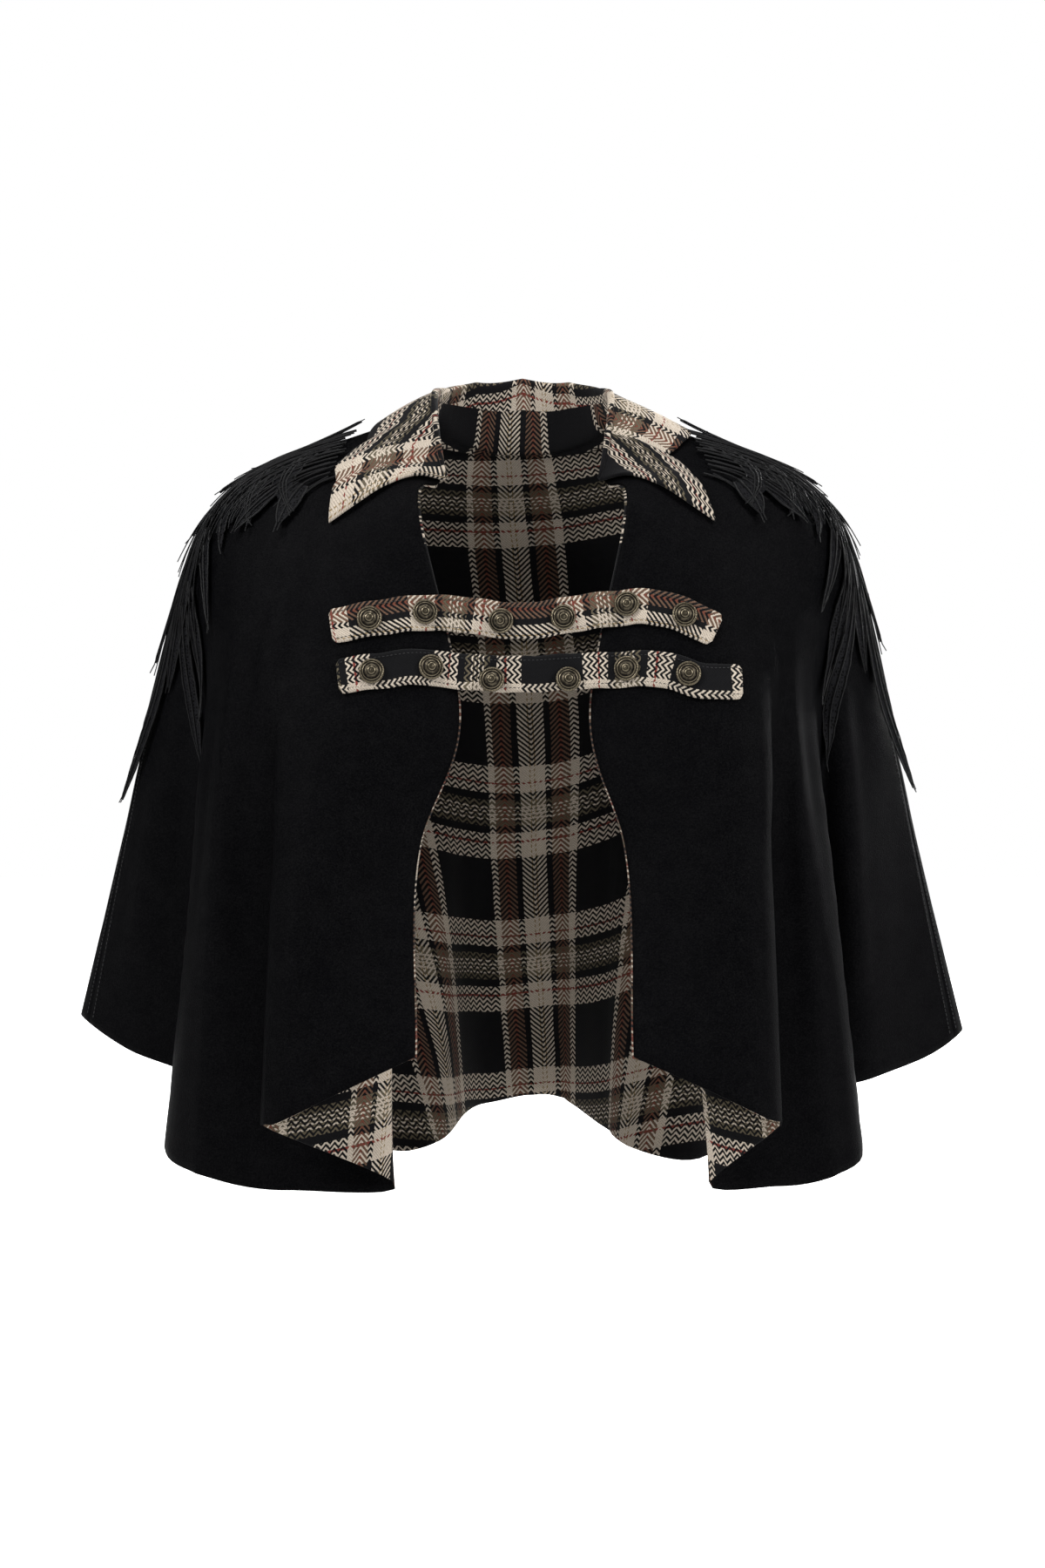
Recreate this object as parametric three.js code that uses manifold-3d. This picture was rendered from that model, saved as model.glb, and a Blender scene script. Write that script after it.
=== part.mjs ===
// A short lined wool cape, worn shape with no wearer: black outer cloth, plaid lining,
// a turned-down plaid collar, two buttoned straps across the open front and a feather
// applique on each shoulder.
// Millimetres, +Z up, -Y is the front. The origin is midway between the two side neck
// points, where the wearer's shoulders carry the cape. +X is the wearer's left.
import * as THREE from "three";
import { mergeVertices } from "three/addons/utils/BufferGeometryUtils.js";
import Module from "manifold-3d";

// Cloth thicknesses, and the gap left between sewn pieces.
const SHELL_THICK = 1.8;
const LINING_THICK = 1.2;
const SEWN_GAP = 0.3;
const SHELL_OUTSIDE = SEWN_GAP / 2 + SHELL_THICK;
const LINING_INSIDE = SEWN_GAP / 2 + LINING_THICK;

// The neck seam. Its front ends drop towards the chest and its back is a little lower
// than the side neck points.
const NECK = { halfWidth: 76, frontDepth: 62, backDepth: 70, frontDrop: 63, backDrop: 26 };
// The ring where the cloth leaves the shoulders and starts to hang.
const SHOULDER = { halfWidth: 246, frontDepth: 98, backDepth: 118, frontZ: -96, sideZ: -88, backZ: -120 };
const CHEST_Z = -245;

// Places round the cape are in degrees: 0 is the centre front, 90 the wearer's right
// side, 180 the centre back and 270 the wearer's left side.
const FRONT_EDGE = 19;
const RIGHT_SEAM = 92;
const LEFT_SEAM = 268;

// How far down each level lies, as a share of the way from neck seam to hem.
const LEVEL = { neck: 0, shoulder: 0.26, chest: 0.46, waist: 0.68, hem: 1 };
// The waist level's share of the drop from chest to hem.
const WAIST_SHARE = 0.4;

// One row for each fold line, from the wearer's right front edge round the back to the
// left front edge. A "top" or "crest" is the outward ridge of a flute and a "dip" is the
// groove behind it.
const FOLDS = [
  { name: "right front edge", around: 19, chestX: -49, chestY: -111, waistX: -79, waistY: -124, hemX: -81, hemY: -158, hemZ: -506 },
  { name: "right front middle", around: 26, chestX: -114, chestY: -124, waistX: -134, waistY: -141, hemX: -140, hemY: -170, hemZ: -533 },
  { name: "right front top", around: 33, chestX: -170, chestY: -119, waistX: -181, waistY: -140, hemX: -185, hemY: -168, hemZ: -555 },
  { name: "right front turn", around: 36, chestX: -183, chestY: -113, waistX: -187, waistY: -126, hemX: -193, hemY: -154, hemZ: -559 },
  { name: "right front dip", around: 40, chestX: -192, chestY: -107, waistX: -120, waistY: -108, hemX: -103, hemY: -130, hemZ: -600 },
  { name: "right body", around: 48, chestX: -209, chestY: -98, waistX: -188, waistY: -98, hemX: -178, hemY: -118, hemZ: -611 },
  { name: "right body crest", around: 58, chestX: -229, chestY: -82, waistX: -238, waistY: -92, hemX: -246, hemY: -98, hemZ: -602 },
  { name: "right arm top", around: 66, chestX: -246, chestY: -54, waistX: -257, waistY: -62, hemX: -278, hemY: -60, hemZ: -588 },
  { name: "right arm dip", around: 75, chestX: -253, chestY: -24, waistX: -246, waistY: -16, hemX: -250, hemY: -4, hemZ: -545 },
  { name: "right arm face", around: 84, chestX: -283, chestY: 2, waistX: -298, waistY: 8, hemX: -318, hemY: 26, hemZ: -517 },
  { name: "right side", around: 96, chestX: -300, chestY: 38, waistX: -326, waistY: 52, hemX: -363, hemY: 68, hemZ: -492 },
  { name: "right back top", around: 112, chestX: -262, chestY: 96, waistX: -284, waistY: 114, hemX: -322, hemY: 150, hemZ: -520 },
  { name: "right back dip", around: 127, chestX: -204, chestY: 110, waistX: -214, waistY: 112, hemX: -240, hemY: 130, hemZ: -566 },
  { name: "right blade top", around: 141, chestX: -152, chestY: 136, waistX: -160, waistY: 160, hemX: -182, hemY: 204, hemZ: -568 },
  { name: "right blade dip", around: 151, chestX: -112, chestY: 138, waistX: -112, waistY: 124, hemX: -110, hemY: 100, hemZ: -607 },
  { name: "right back flute", around: 158, chestX: -82, chestY: 136, waistX: -76, waistY: 122, hemX: -70, hemY: 106, hemZ: -600 },
  { name: "right back turn", around: 165, chestX: -54, chestY: 136, waistX: -52, waistY: 146, hemX: -50, hemY: 160, hemZ: -583 },
  { name: "centre back", around: 176, chestX: -14, chestY: 138, waistX: -20, waistY: 160, hemX: -24, hemY: 192, hemZ: -576 },
  { name: "back crease", around: 189, chestX: 34, chestY: 136, waistX: 30, waistY: 160, hemX: 31, hemY: 194, hemZ: -572 },
  { name: "left back turn", around: 198, chestX: 66, chestY: 134, waistX: 62, waistY: 140, hemX: 66, hemY: 142, hemZ: -590 },
  { name: "left back flute", around: 206, chestX: 94, chestY: 134, waistX: 92, waistY: 118, hemX: 92, hemY: 98, hemZ: -605 },
  { name: "left blade dip", around: 215, chestX: 124, chestY: 134, waistX: 132, waistY: 118, hemX: 148, hemY: 92, hemZ: -613 },
  { name: "left blade top", around: 226, chestX: 166, chestY: 128, waistX: 186, waistY: 156, hemX: 204, hemY: 196, hemZ: -572 },
  { name: "left back dip", around: 238, chestX: 214, chestY: 108, waistX: 230, waistY: 112, hemX: 252, hemY: 128, hemZ: -568 },
  { name: "left back top", around: 250, chestX: 262, chestY: 92, waistX: 288, waistY: 112, hemX: 322, hemY: 146, hemZ: -526 },
  { name: "left side", around: 264, chestX: 296, chestY: 38, waistX: 322, waistY: 52, hemX: 362, hemY: 68, hemZ: -504 },
  { name: "left arm face", around: 274, chestX: 280, chestY: 4, waistX: 300, waistY: 18, hemX: 326, hemY: 34, hemZ: -524 },
  { name: "left arm crest", around: 280, chestX: 256, chestY: -24, waistX: 264, waistY: -20, hemX: 282, hemY: 4, hemZ: -537 },
  { name: "left arm dip", around: 287, chestX: 238, chestY: -30, waistX: 236, waistY: -16, hemX: 246, hemY: -2, hemZ: -551 },
  { name: "left arm top", around: 294, chestX: 226, chestY: -60, waistX: 241, waistY: -66, hemX: 264, hemY: -66, hemZ: -586 },
  { name: "left body crest", around: 303, chestX: 210, chestY: -82, waistX: 222, waistY: -88, hemX: 238, hemY: -98, hemZ: -603 },
  { name: "left body", around: 312, chestX: 199, chestY: -92, waistX: 196, waistY: -92, hemX: 196, hemY: -110, hemZ: -609 },
  { name: "left front dip", around: 319, chestX: 190, chestY: -100, waistX: 138, waistY: -106, hemX: 143, hemY: -128, hemZ: -603 },
  { name: "left front turn", around: 324, chestX: 185, chestY: -111, waistX: 188, waistY: -126, hemX: 194, hemY: -154, hemZ: -557 },
  { name: "left front top", around: 327, chestX: 174, chestY: -119, waistX: 181, waistY: -140, hemX: 185, hemY: -168, hemZ: -552 },
  { name: "left front middle", around: 334, chestX: 118, chestY: -124, waistX: 134, waistY: -141, hemX: 140, hemY: -170, hemZ: -530 },
  { name: "left front edge", around: 341, chestX: 53, chestY: -111, waistX: 79, waistY: -124, hemX: 84, hemY: -158, hemZ: -506 },
];

const rad = THREE.MathUtils.degToRad;
const mix = THREE.MathUtils.lerp;
const power = (value, exponent) => Math.sign(value) * Math.abs(value) ** exponent;

// Point of the neck seam at a place round the cape.
function neckPoint(around) {
  const fromCentre = around <= 180 ? around : 360 - around;
  const inFront = fromCentre < 90;
  const neckTurnAtEdge = 55;
  const turn = inFront
    ? 90 - ((90 - fromCentre) * (90 - neckTurnAtEdge)) / (90 - FRONT_EDGE)
    : fromCentre;
  const squareness = inFront ? 2 / 3 : 2 / 2.3;
  const side = around <= 180 ? -1 : 1;
  const depth = inFront ? NECK.frontDepth : NECK.backDepth;
  const drop = inFront
    ? NECK.frontDrop * ((90 - turn) / (90 - neckTurnAtEdge)) ** 1.4
    : NECK.backDrop * Math.sin(rad(turn - 90)) ** 2;
  return new THREE.Vector3(
    side * NECK.halfWidth * Math.sin(rad(turn)) ** squareness,
    -depth * power(Math.cos(rad(turn)), squareness),
    -drop,
  );
}

// Point of the shoulder ring at a place round the cape.
function shoulderPoint(around) {
  const front = Math.cos(rad(around));
  const depth = front > 0 ? SHOULDER.frontDepth : SHOULDER.backDepth;
  const endZ = front > 0 ? SHOULDER.frontZ : SHOULDER.backZ;
  const squareness = 0.86;
  return new THREE.Vector3(
    -SHOULDER.halfWidth * Math.sin(rad(around)),
    -depth * power(front, squareness),
    mix(SHOULDER.sideZ, endZ, Math.abs(front)),
  );
}

// The five points that each fold line passes, from neck seam to hem.
function foldLine(fold) {
  const chest = new THREE.Vector3(fold.chestX, fold.chestY, CHEST_Z);
  const waist = new THREE.Vector3(fold.waistX, fold.waistY, mix(CHEST_Z, fold.hemZ, WAIST_SHARE));
  const hem = new THREE.Vector3(fold.hemX, fold.hemY, fold.hemZ);
  return [neckPoint(fold.around), shoulderPoint(fold.around), chest, waist, hem];
}

// Smooth curve through points at uneven knots.
function smooth(knots, points, at) {
  const last = knots.length - 1;
  let i = 0;
  while (i < last - 1 && at > knots[i + 1]) i += 1;
  const slope = (k) => {
    const before = Math.max(k - 1, 0);
    const after = Math.min(k + 1, last);
    if (before === k || after === k)
      return points[after].clone().sub(points[before]).divideScalar(knots[after] - knots[before]);
    const a = points[k].clone().sub(points[before]).divideScalar(knots[k] - knots[before]);
    const b = points[after].clone().sub(points[k]).divideScalar(knots[after] - knots[k]);
    const share = (knots[k] - knots[before]) / (knots[after] - knots[before]);
    return a.multiplyScalar(1 - share).add(b.multiplyScalar(share));
  };
  const span = knots[i + 1] - knots[i];
  const t = (at - knots[i]) / span;
  const t2 = t * t;
  const t3 = t2 * t;
  return points[i].clone().multiplyScalar(2 * t3 - 3 * t2 + 1)
    .add(slope(i).multiplyScalar((t3 - 2 * t2 + t) * span))
    .add(points[i + 1].clone().multiplyScalar(3 * t2 - 2 * t3))
    .add(slope(i + 1).multiplyScalar((t3 - t2) * span));
}

const LEVEL_KNOTS = Object.values(LEVEL);
const FOLD_KNOTS = FOLDS.map((fold) => fold.around);
const FOLD_LINES = FOLDS.map(foldLine);

// Point of the sewn layer between shell and lining.
function clothPoint(around, down) {
  const ring = FOLD_LINES.map((line) => smooth(LEVEL_KNOTS, line, down));
  return smooth(FOLD_KNOTS, ring, around);
}

// Outward normal of the cloth.
function clothNormal(around, down) {
  const stepAround = 0.5;
  const stepDown = 0.005;
  const a0 = Math.max(around - stepAround, FRONT_EDGE);
  const a1 = Math.min(around + stepAround, 360 - FRONT_EDGE);
  const d0 = Math.max(down - stepDown, 0);
  const d1 = Math.min(down + stepDown, 1);
  const across = clothPoint(a1, down).sub(clothPoint(a0, down));
  const along = clothPoint(around, d1).sub(clothPoint(around, d0));
  return across.cross(along).normalize();
}

// A point lifted off the cloth by a distance along its normal.
function onCloth(around, down, lift) {
  return clothPoint(around, down).addScaledVector(clothNormal(around, down), lift);
}

// A closed wall between an outer and an inner grid of points, indexed [row][column].
function wallGeometry(outer, inner) {
  const rows = outer.length;
  const columns = outer[0].length;
  const position = [];
  [outer, inner].forEach((grid) => grid.forEach((row) => row.forEach((p) => position.push(p.x, p.y, p.z))));
  const at = (side, r, c) => side * rows * columns + r * columns + c;
  const index = [];
  const quad = (a, b, c, d) => index.push(a, b, c, a, c, d);
  for (let r = 0; r < rows - 1; r += 1) {
    for (let c = 0; c < columns - 1; c += 1) {
      quad(at(0, r, c), at(0, r, c + 1), at(0, r + 1, c + 1), at(0, r + 1, c));
      quad(at(1, r, c), at(1, r + 1, c), at(1, r + 1, c + 1), at(1, r, c + 1));
    }
  }
  for (let c = 0; c < columns - 1; c += 1) {
    quad(at(1, 0, c), at(1, 0, c + 1), at(0, 0, c + 1), at(0, 0, c));
    quad(at(0, rows - 1, c), at(0, rows - 1, c + 1), at(1, rows - 1, c + 1), at(1, rows - 1, c));
  }
  for (let r = 0; r < rows - 1; r += 1) {
    quad(at(0, r, 0), at(0, r + 1, 0), at(1, r + 1, 0), at(1, r, 0));
    quad(at(1, r, columns - 1), at(1, r + 1, columns - 1), at(0, r + 1, columns - 1), at(0, r, columns - 1));
  }
  const geometry = new THREE.BufferGeometry();
  geometry.setAttribute("position", new THREE.Float32BufferAttribute(position, 3));
  geometry.setIndex(index);
  return geometry;
}

// Levels of the cloth grid, closer together where the shoulder turns.
const ROWS = [0, 0.08, 0.17, 0.26, 0.34, 0.42, 0.52, 0.64, 0.76, 0.88, 1];
const COLUMN_WIDTH = 32;

// Places round the cape for the grid columns of one panel, spaced along the hem.
function panelColumns(from, to) {
  const stops = [from, ...FOLD_KNOTS.filter((a) => a > from + 2 && a < to - 2), to];
  const columns = [from];
  for (let i = 0; i < stops.length - 1; i += 1) {
    const chord = clothPoint(stops[i], 1).distanceTo(clothPoint(stops[i + 1], 1));
    const count = Math.max(2, Math.round(chord / COLUMN_WIDTH));
    for (let k = 1; k <= count; k += 1) columns.push(mix(stops[i], stops[i + 1], k / count));
  }
  return columns;
}

// One panel's wall between two lifts off the sewn layer.
function panelGeometry(from, to, outside, inside) {
  const columns = panelColumns(from, to);
  const grid = (lift) => ROWS.map((down) => columns.map((around) => onCloth(around, down, lift)));
  return wallGeometry(grid(outside), grid(inside));
}

const wasm = await Module();
wasm.setup();
const UP = new THREE.Vector3(0, 0, 1);

// A wall of even thickness about a grid of points in its middle, indexed [row][column].
function sheetGeometry(grid, thick) {
  const rows = grid.length;
  const columns = grid[0].length;
  const normal = (r, c) => {
    const across = grid[r][Math.min(c + 1, columns - 1)].clone().sub(grid[r][Math.max(c - 1, 0)]);
    const along = grid[Math.min(r + 1, rows - 1)][c].clone().sub(grid[Math.max(r - 1, 0)][c]);
    return across.cross(along).normalize();
  };
  const moved = (amount) =>
    grid.map((row, r) => row.map((p, c) => p.clone().addScaledVector(normal(r, c), amount)));
  return wallGeometry(moved(thick / 2), moved(-thick / 2));
}

// Places spread over the cloth, to find which one a point lies over.
const PLACE_GRID = { across: 160, down: 40 };
const PLACES = [];
for (let i = 0; i <= PLACE_GRID.across; i += 1) {
  const around = mix(FRONT_EDGE, 360 - FRONT_EDGE, i / PLACE_GRID.across);
  for (let j = 0; j <= PLACE_GRID.down; j += 1) {
    const down = (0.5 * j) / PLACE_GRID.down;
    PLACES.push({ around, down, point: clothPoint(around, down) });
  }
}

// A point lifted, where it has to be, until it clears the cloth below it.
function clearOfCloth(point, lift) {
  let nearest = PLACES[0];
  for (const place of PLACES)
    if (place.point.distanceToSquared(point) < nearest.point.distanceToSquared(point)) nearest = place;
  const normal = clothNormal(nearest.around, nearest.down);
  const height = point.clone().sub(nearest.point).dot(normal);
  return height < lift ? point.clone().addScaledVector(normal, lift - height) : point.clone();
}

// The collar: one row for each section, from the right front end round the back to the
// left one. seam is the place round the neck, edge and down the place on the cloth where
// its outer edge lies, stand the height of the roll line, upright 1 where it stands up
// and 0 where it leans out square from the cloth, inset how far the roll lies inside the
// seam and bulge how far the fall rounds up between roll and edge.
const COLLAR = { thick: 2.6, baseUp: 2.7, roll: 5, edgeLift: 4.8, fallLift: 5.8, columns: 32 };
const COLLAR_SECTIONS = [
  { name: "right front end", seam: 19, edge: 36.5, down: 0.27, stand: 8.5, upright: 0, inset: 0, bulge: 4 },
  { name: "right point", seam: 27, edge: 39.5, down: 0.225, stand: 8, upright: 0, inset: 1.5, bulge: 4 },
  { name: "right front", seam: 38, edge: 42, down: 0.19, stand: 9, upright: 0.1, inset: 3, bulge: 4 },
  { name: "right front corner", seam: 50, edge: 53, down: 0.13, stand: 10, upright: 0.25, inset: 4, bulge: 4 },
  { name: "right shoulder", seam: 66, edge: 63, down: 0.078, stand: 11, upright: 0.5, inset: 5, bulge: 2 },
  { name: "right side", seam: 88, edge: 84, down: 0.055, stand: 13, upright: 0.8, inset: 6, bulge: 1 },
  { name: "right back shoulder", seam: 115, edge: 115, down: 0.06, stand: 23, upright: 1, inset: 8, bulge: 3 },
  { name: "right back", seam: 147, edge: 147, down: 0.055, stand: 44, upright: 1, inset: 9, bulge: 3 },
  { name: "centre back", seam: 180, edge: 180, down: 0.05, stand: 55, upright: 1, inset: 9, bulge: 3 },
  { name: "left back", seam: 213, edge: 213, down: 0.055, stand: 44, upright: 1, inset: 9, bulge: 3 },
  { name: "left back shoulder", seam: 245, edge: 247, down: 0.07, stand: 23, upright: 1, inset: 8, bulge: 3 },
  { name: "left side", seam: 270, edge: 270, down: 0.08, stand: 13, upright: 0.8, inset: 6, bulge: 1 },
  { name: "left shoulder", seam: 293, edge: 296, down: 0.08, stand: 11, upright: 0.5, inset: 5, bulge: 2 },
  { name: "left front corner", seam: 309, edge: 313, down: 0.086, stand: 10, upright: 0.25, inset: 4, bulge: 3 },
  { name: "left front", seam: 322, edge: 320, down: 0.17, stand: 9, upright: 0.1, inset: 3, bulge: 4 },
  { name: "left point", seam: 333, edge: 322.6, down: 0.238, stand: 8, upright: 0, inset: 1.5, bulge: 4 },
  { name: "left front end", seam: 341, edge: 323.5, down: 0.268, stand: 7.5, upright: 0, inset: 0, bulge: 4 },
];

// Value of one column of a table at a place along another, with straight runs between.
function lookUp(table, key, at, column) {
  const i = Math.min(Math.max(table.findIndex((row) => row[key] >= at), 1), table.length - 1);
  const share = (at - table[i - 1][key]) / (table[i][key] - table[i - 1][key]);
  return mix(table[i - 1][column], table[i][column], share);
}

// The collar's points from the neck seam, up its stand, over the roll and down to its edge.
function collarSection(at) {
  const value = (column) => lookUp(COLLAR_SECTIONS, "seam", at, column);
  const edgeAround = value("edge");
  const neck = neckPoint(at);
  const inward = new THREE.Vector3(-neck.x, -neck.y * 0.8, 0).normalize();
  const off = clothPoint(at, 0).sub(clothPoint(at, 0.01)).normalize();
  const base = neck.clone().addScaledVector(off, COLLAR.baseUp);
  const rise = clothNormal(at, 0).lerp(UP, value("upright")).normalize();
  const top = base.clone().addScaledVector(rise, value("stand")).addScaledVector(inward, value("inset"));
  const edge = onCloth(edgeAround, value("down"), COLLAR.edgeLift);
  const towards = edge.clone().sub(top);
  const out = towards.addScaledVector(rise, -towards.dot(rise)).normalize();
  const beforeRoll = top.clone().addScaledVector(rise, -COLLAR.roll / 2);
  const afterRoll = clearOfCloth(beforeRoll.clone().addScaledVector(out, COLLAR.roll), COLLAR.edgeLift);
  const crown = top.clone().addScaledVector(out, COLLAR.roll / 2);
  const lift = clothNormal(edgeAround, value("down"));
  const fall = [0.25, 0.5, 0.75].map((share) => {
    const point = afterRoll.clone().lerp(edge, share);
    point.addScaledVector(lift, value("bulge") * Math.sin(Math.PI * share));
    return clearOfCloth(point, COLLAR.fallLift);
  });
  return [base, base.clone().lerp(beforeRoll, 0.5), beforeRoll, crown, afterRoll, ...fall, edge];
}

function collarGeometry() {
  const sections = [];
  for (let k = 0; k <= COLLAR.columns; k += 1)
    sections.push(collarSection(mix(FRONT_EDGE, 360 - FRONT_EDGE, k / COLLAR.columns)));
  const grid = sections[0].map((_, row) => sections.map((section) => section[row]));
  return sheetGeometry(grid, COLLAR.thick);
}

// The two straps: one row for each point of the centre line that lies on a front, from
// the wearer's left end to the right end, and the sag where it bridges the opening.
const STRAP = { width: 27, thick: 2.6, lift: 4.1, columns: 24 };
const STRAPS = {
  upper: {
    onFronts: [
      { around: 329.3, down: 0.382 },
      { around: 332.5, down: 0.368 },
      { around: 336.7, down: 0.359 },
      { around: 340.3, down: 0.36 },
      { around: 19.3, down: 0.364 },
      { around: 21, down: 0.364 },
      { around: 25.3, down: 0.369 },
      { around: 31, down: 0.378 },
    ],
    middle: { y: -115, z: -176 },
  },
  lower: {
    onFronts: [
      { around: 327.6, down: 0.43 },
      { around: 331.5, down: 0.429 },
      { around: 335, down: 0.418 },
      { around: 340.2, down: 0.417 },
      { around: 19.8, down: 0.417 },
      { around: 22, down: 0.414 },
      { around: 25.5, down: 0.419 },
      { around: 29.4, down: 0.425 },
    ],
    middle: { y: -118, z: -217 },
  },
};

// Centre line of a strap, with x as its knots so that a place on it is found by x.
function strapLine(strap) {
  const points = strap.onFronts.map((row) => onCloth(row.around, row.down, STRAP.lift));
  const normals = strap.onFronts.map((row) => clothNormal(row.around, row.down));
  points.splice(points.length / 2, 0, new THREE.Vector3(0, strap.middle.y, strap.middle.z));
  normals.splice(normals.length / 2, 0, new THREE.Vector3(0, -1, 0));
  return { knots: points.map((p) => -p.x), points, normals };
}

// A strap's frame at a distance x from the centre front.
function strapFrame(line, x) {
  const point = smooth(line.knots, line.points, -x);
  const ahead = smooth(line.knots, line.points, -x + 1).sub(point).normalize();
  const lean = smooth(line.knots, line.normals, -x);
  const below = lean.cross(ahead).normalize();
  const normal = ahead.clone().cross(below).normalize();
  return { point, ahead, normal, below };
}

function strapGeometry(line) {
  const first = line.points[0].x;
  const last = line.points[line.points.length - 1].x;
  const grid = [-0.5, 0, 0.5].map((share) => {
    const row = [];
    for (let k = 0; k <= STRAP.columns; k += 1) {
      const frame = strapFrame(line, mix(first, last, k / STRAP.columns));
      row.push(frame.point.addScaledVector(frame.below, share * STRAP.width));
    }
    return row;
  });
  return sheetGeometry(grid, STRAP.thick);
}

// The metal buttons: x is the distance from the centre front, drop how far it hangs below
// the strap's centre line and tilt how far its face turns down, in degrees.
const BUTTON = { radius: 9.75, segments: 16, gap: 0.35 };
const BUTTON_PROFILE = [
  { name: "back", radius: 8.8, height: 0 },
  { name: "rim", radius: 9.75, height: 1.2 },
  { name: "rope ring", radius: 8.7, height: 2.6 },
  { name: "groove", radius: 7.5, height: 2 },
  { name: "dome", radius: 4.4, height: 4.3 },
];
const BUTTON_HEIGHT = 5.2;
const BUTTONS = [
  { strap: "upper", x: 124, drop: 0, tilt: 0 },
  { strap: "upper", x: 80.5, drop: -2, tilt: 0 },
  { strap: "upper", x: 30.5, drop: 1, tilt: 0 },
  { strap: "upper", x: -16, drop: 1, tilt: 0 },
  { strap: "upper", x: -75, drop: 0, tilt: 0 },
  { strap: "upper", x: -117, drop: 0, tilt: 0 },
  { strap: "lower", x: 126, drop: -2, tilt: 0 },
  { strap: "lower", x: 80, drop: 0, tilt: 0 },
  { strap: "lower", x: 34, drop: 6, tilt: 8 },
  { strap: "lower", x: -22.5, drop: 5, tilt: 8 },
  { strap: "lower", x: -70.5, drop: 0, tilt: 0 },
  { strap: "lower", x: -115, drop: 0, tilt: 0 },
];

function buttonGeometry() {
  const rings = BUTTON_PROFILE.map((ring) => new THREE.Vector2(ring.radius, ring.height));
  const profile = [new THREE.Vector2(0, 0), ...rings, new THREE.Vector2(0, BUTTON_HEIGHT)];
  return new THREE.LatheGeometry(profile, BUTTON.segments);
}

// Place a button mesh on its strap, its dome facing out.
function seatButton(mesh, line, button) {
  const frame = strapFrame(line, button.x);
  const tilt = rad(button.tilt);
  const face = frame.normal.clone().applyAxisAngle(frame.ahead, tilt).normalize();
  const lift = STRAP.thick / 2 + BUTTON.gap + BUTTON.radius * Math.sin(Math.abs(tilt));
  mesh.position.copy(frame.point).addScaledVector(frame.below, button.drop).addScaledVector(frame.normal, lift);
  mesh.quaternion.setFromUnitVectors(new THREE.Vector3(0, 1, 0), face);
}

// The feather appliques: one row for each feather of the right one, whose mirror image is
// the left one. A feather runs over the cloth from its root to its tip; lifts are
// heights off the cloth, and a free tip stands away from it.
const FEATHER = { steps: 5, ridge: 1.6, back: 0.9, lift: 4.3, simplify: 0.15 };
const APPLIQUES = [
  { name: "applique_right", mirrored: false, shift: 0 },
  { name: "applique_left", mirrored: true, shift: -0.015 },
];
const FEATHERS = [
  { name: "backing over the shoulder", around: 83, down: 0.1, tipAround: 82, tipDown: 0.3, width: 24, tipLift: 4.3 },
  { name: "backing down the arm", around: 83, down: 0.24, tipAround: 87, tipDown: 0.43, width: 21, tipLift: 4.3 },
  { name: "backing in front", around: 72, down: 0.11, tipAround: 66, tipDown: 0.27, width: 26, tipLift: 4.3 },
  { name: "neck tip", around: 84, down: 0.17, tipAround: 87, tipDown: 0.07, width: 15, tipLift: 11 },
  { name: "front lobe", around: 74, down: 0.12, tipAround: 47, tipDown: 0.255, width: 20, tipLift: 5 },
  { name: "middle lobe", around: 77, down: 0.16, tipAround: 58, tipDown: 0.272, width: 19, tipLift: 5 },
  { name: "outer lobe", around: 80, down: 0.19, tipAround: 68, tipDown: 0.3, width: 17, tipLift: 5 },
  { name: "back lobe", around: 88, down: 0.12, tipAround: 108, tipDown: 0.25, width: 19, tipLift: 5 },
  { name: "shoulder tip", around: 86, down: 0.12, tipAround: 89, tipDown: 0.235, width: 14, tipLift: 12 },
  { name: "outer shoulder tip", around: 87, down: 0.18, tipAround: 92, tipDown: 0.285, width: 14, tipLift: 11 },
  { name: "back arm head", around: 88, down: 0.2, tipAround: 100, tipDown: 0.33, width: 16, tipLift: 8 },
  { name: "front arm feather", around: 81, down: 0.26, tipAround: 72, tipDown: 0.375, width: 15, tipLift: 5 },
  { name: "outer arm feather", around: 87, down: 0.27, tipAround: 93, tipDown: 0.405, width: 15, tipLift: 9 },
  { name: "front trail", around: 83, down: 0.33, tipAround: 74, tipDown: 0.47, width: 14, tipLift: 5 },
  { name: "middle trail", around: 84, down: 0.35, tipAround: 79, tipDown: 0.56, width: 16, tipLift: 5.5 },
  { name: "outer trail", around: 87, down: 0.35, tipAround: 94, tipDown: 0.61, width: 17, tipLift: 10 },
  { name: "back trail", around: 89, down: 0.35, tipAround: 101, tipDown: 0.54, width: 15, tipLift: 6 },
];

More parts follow.
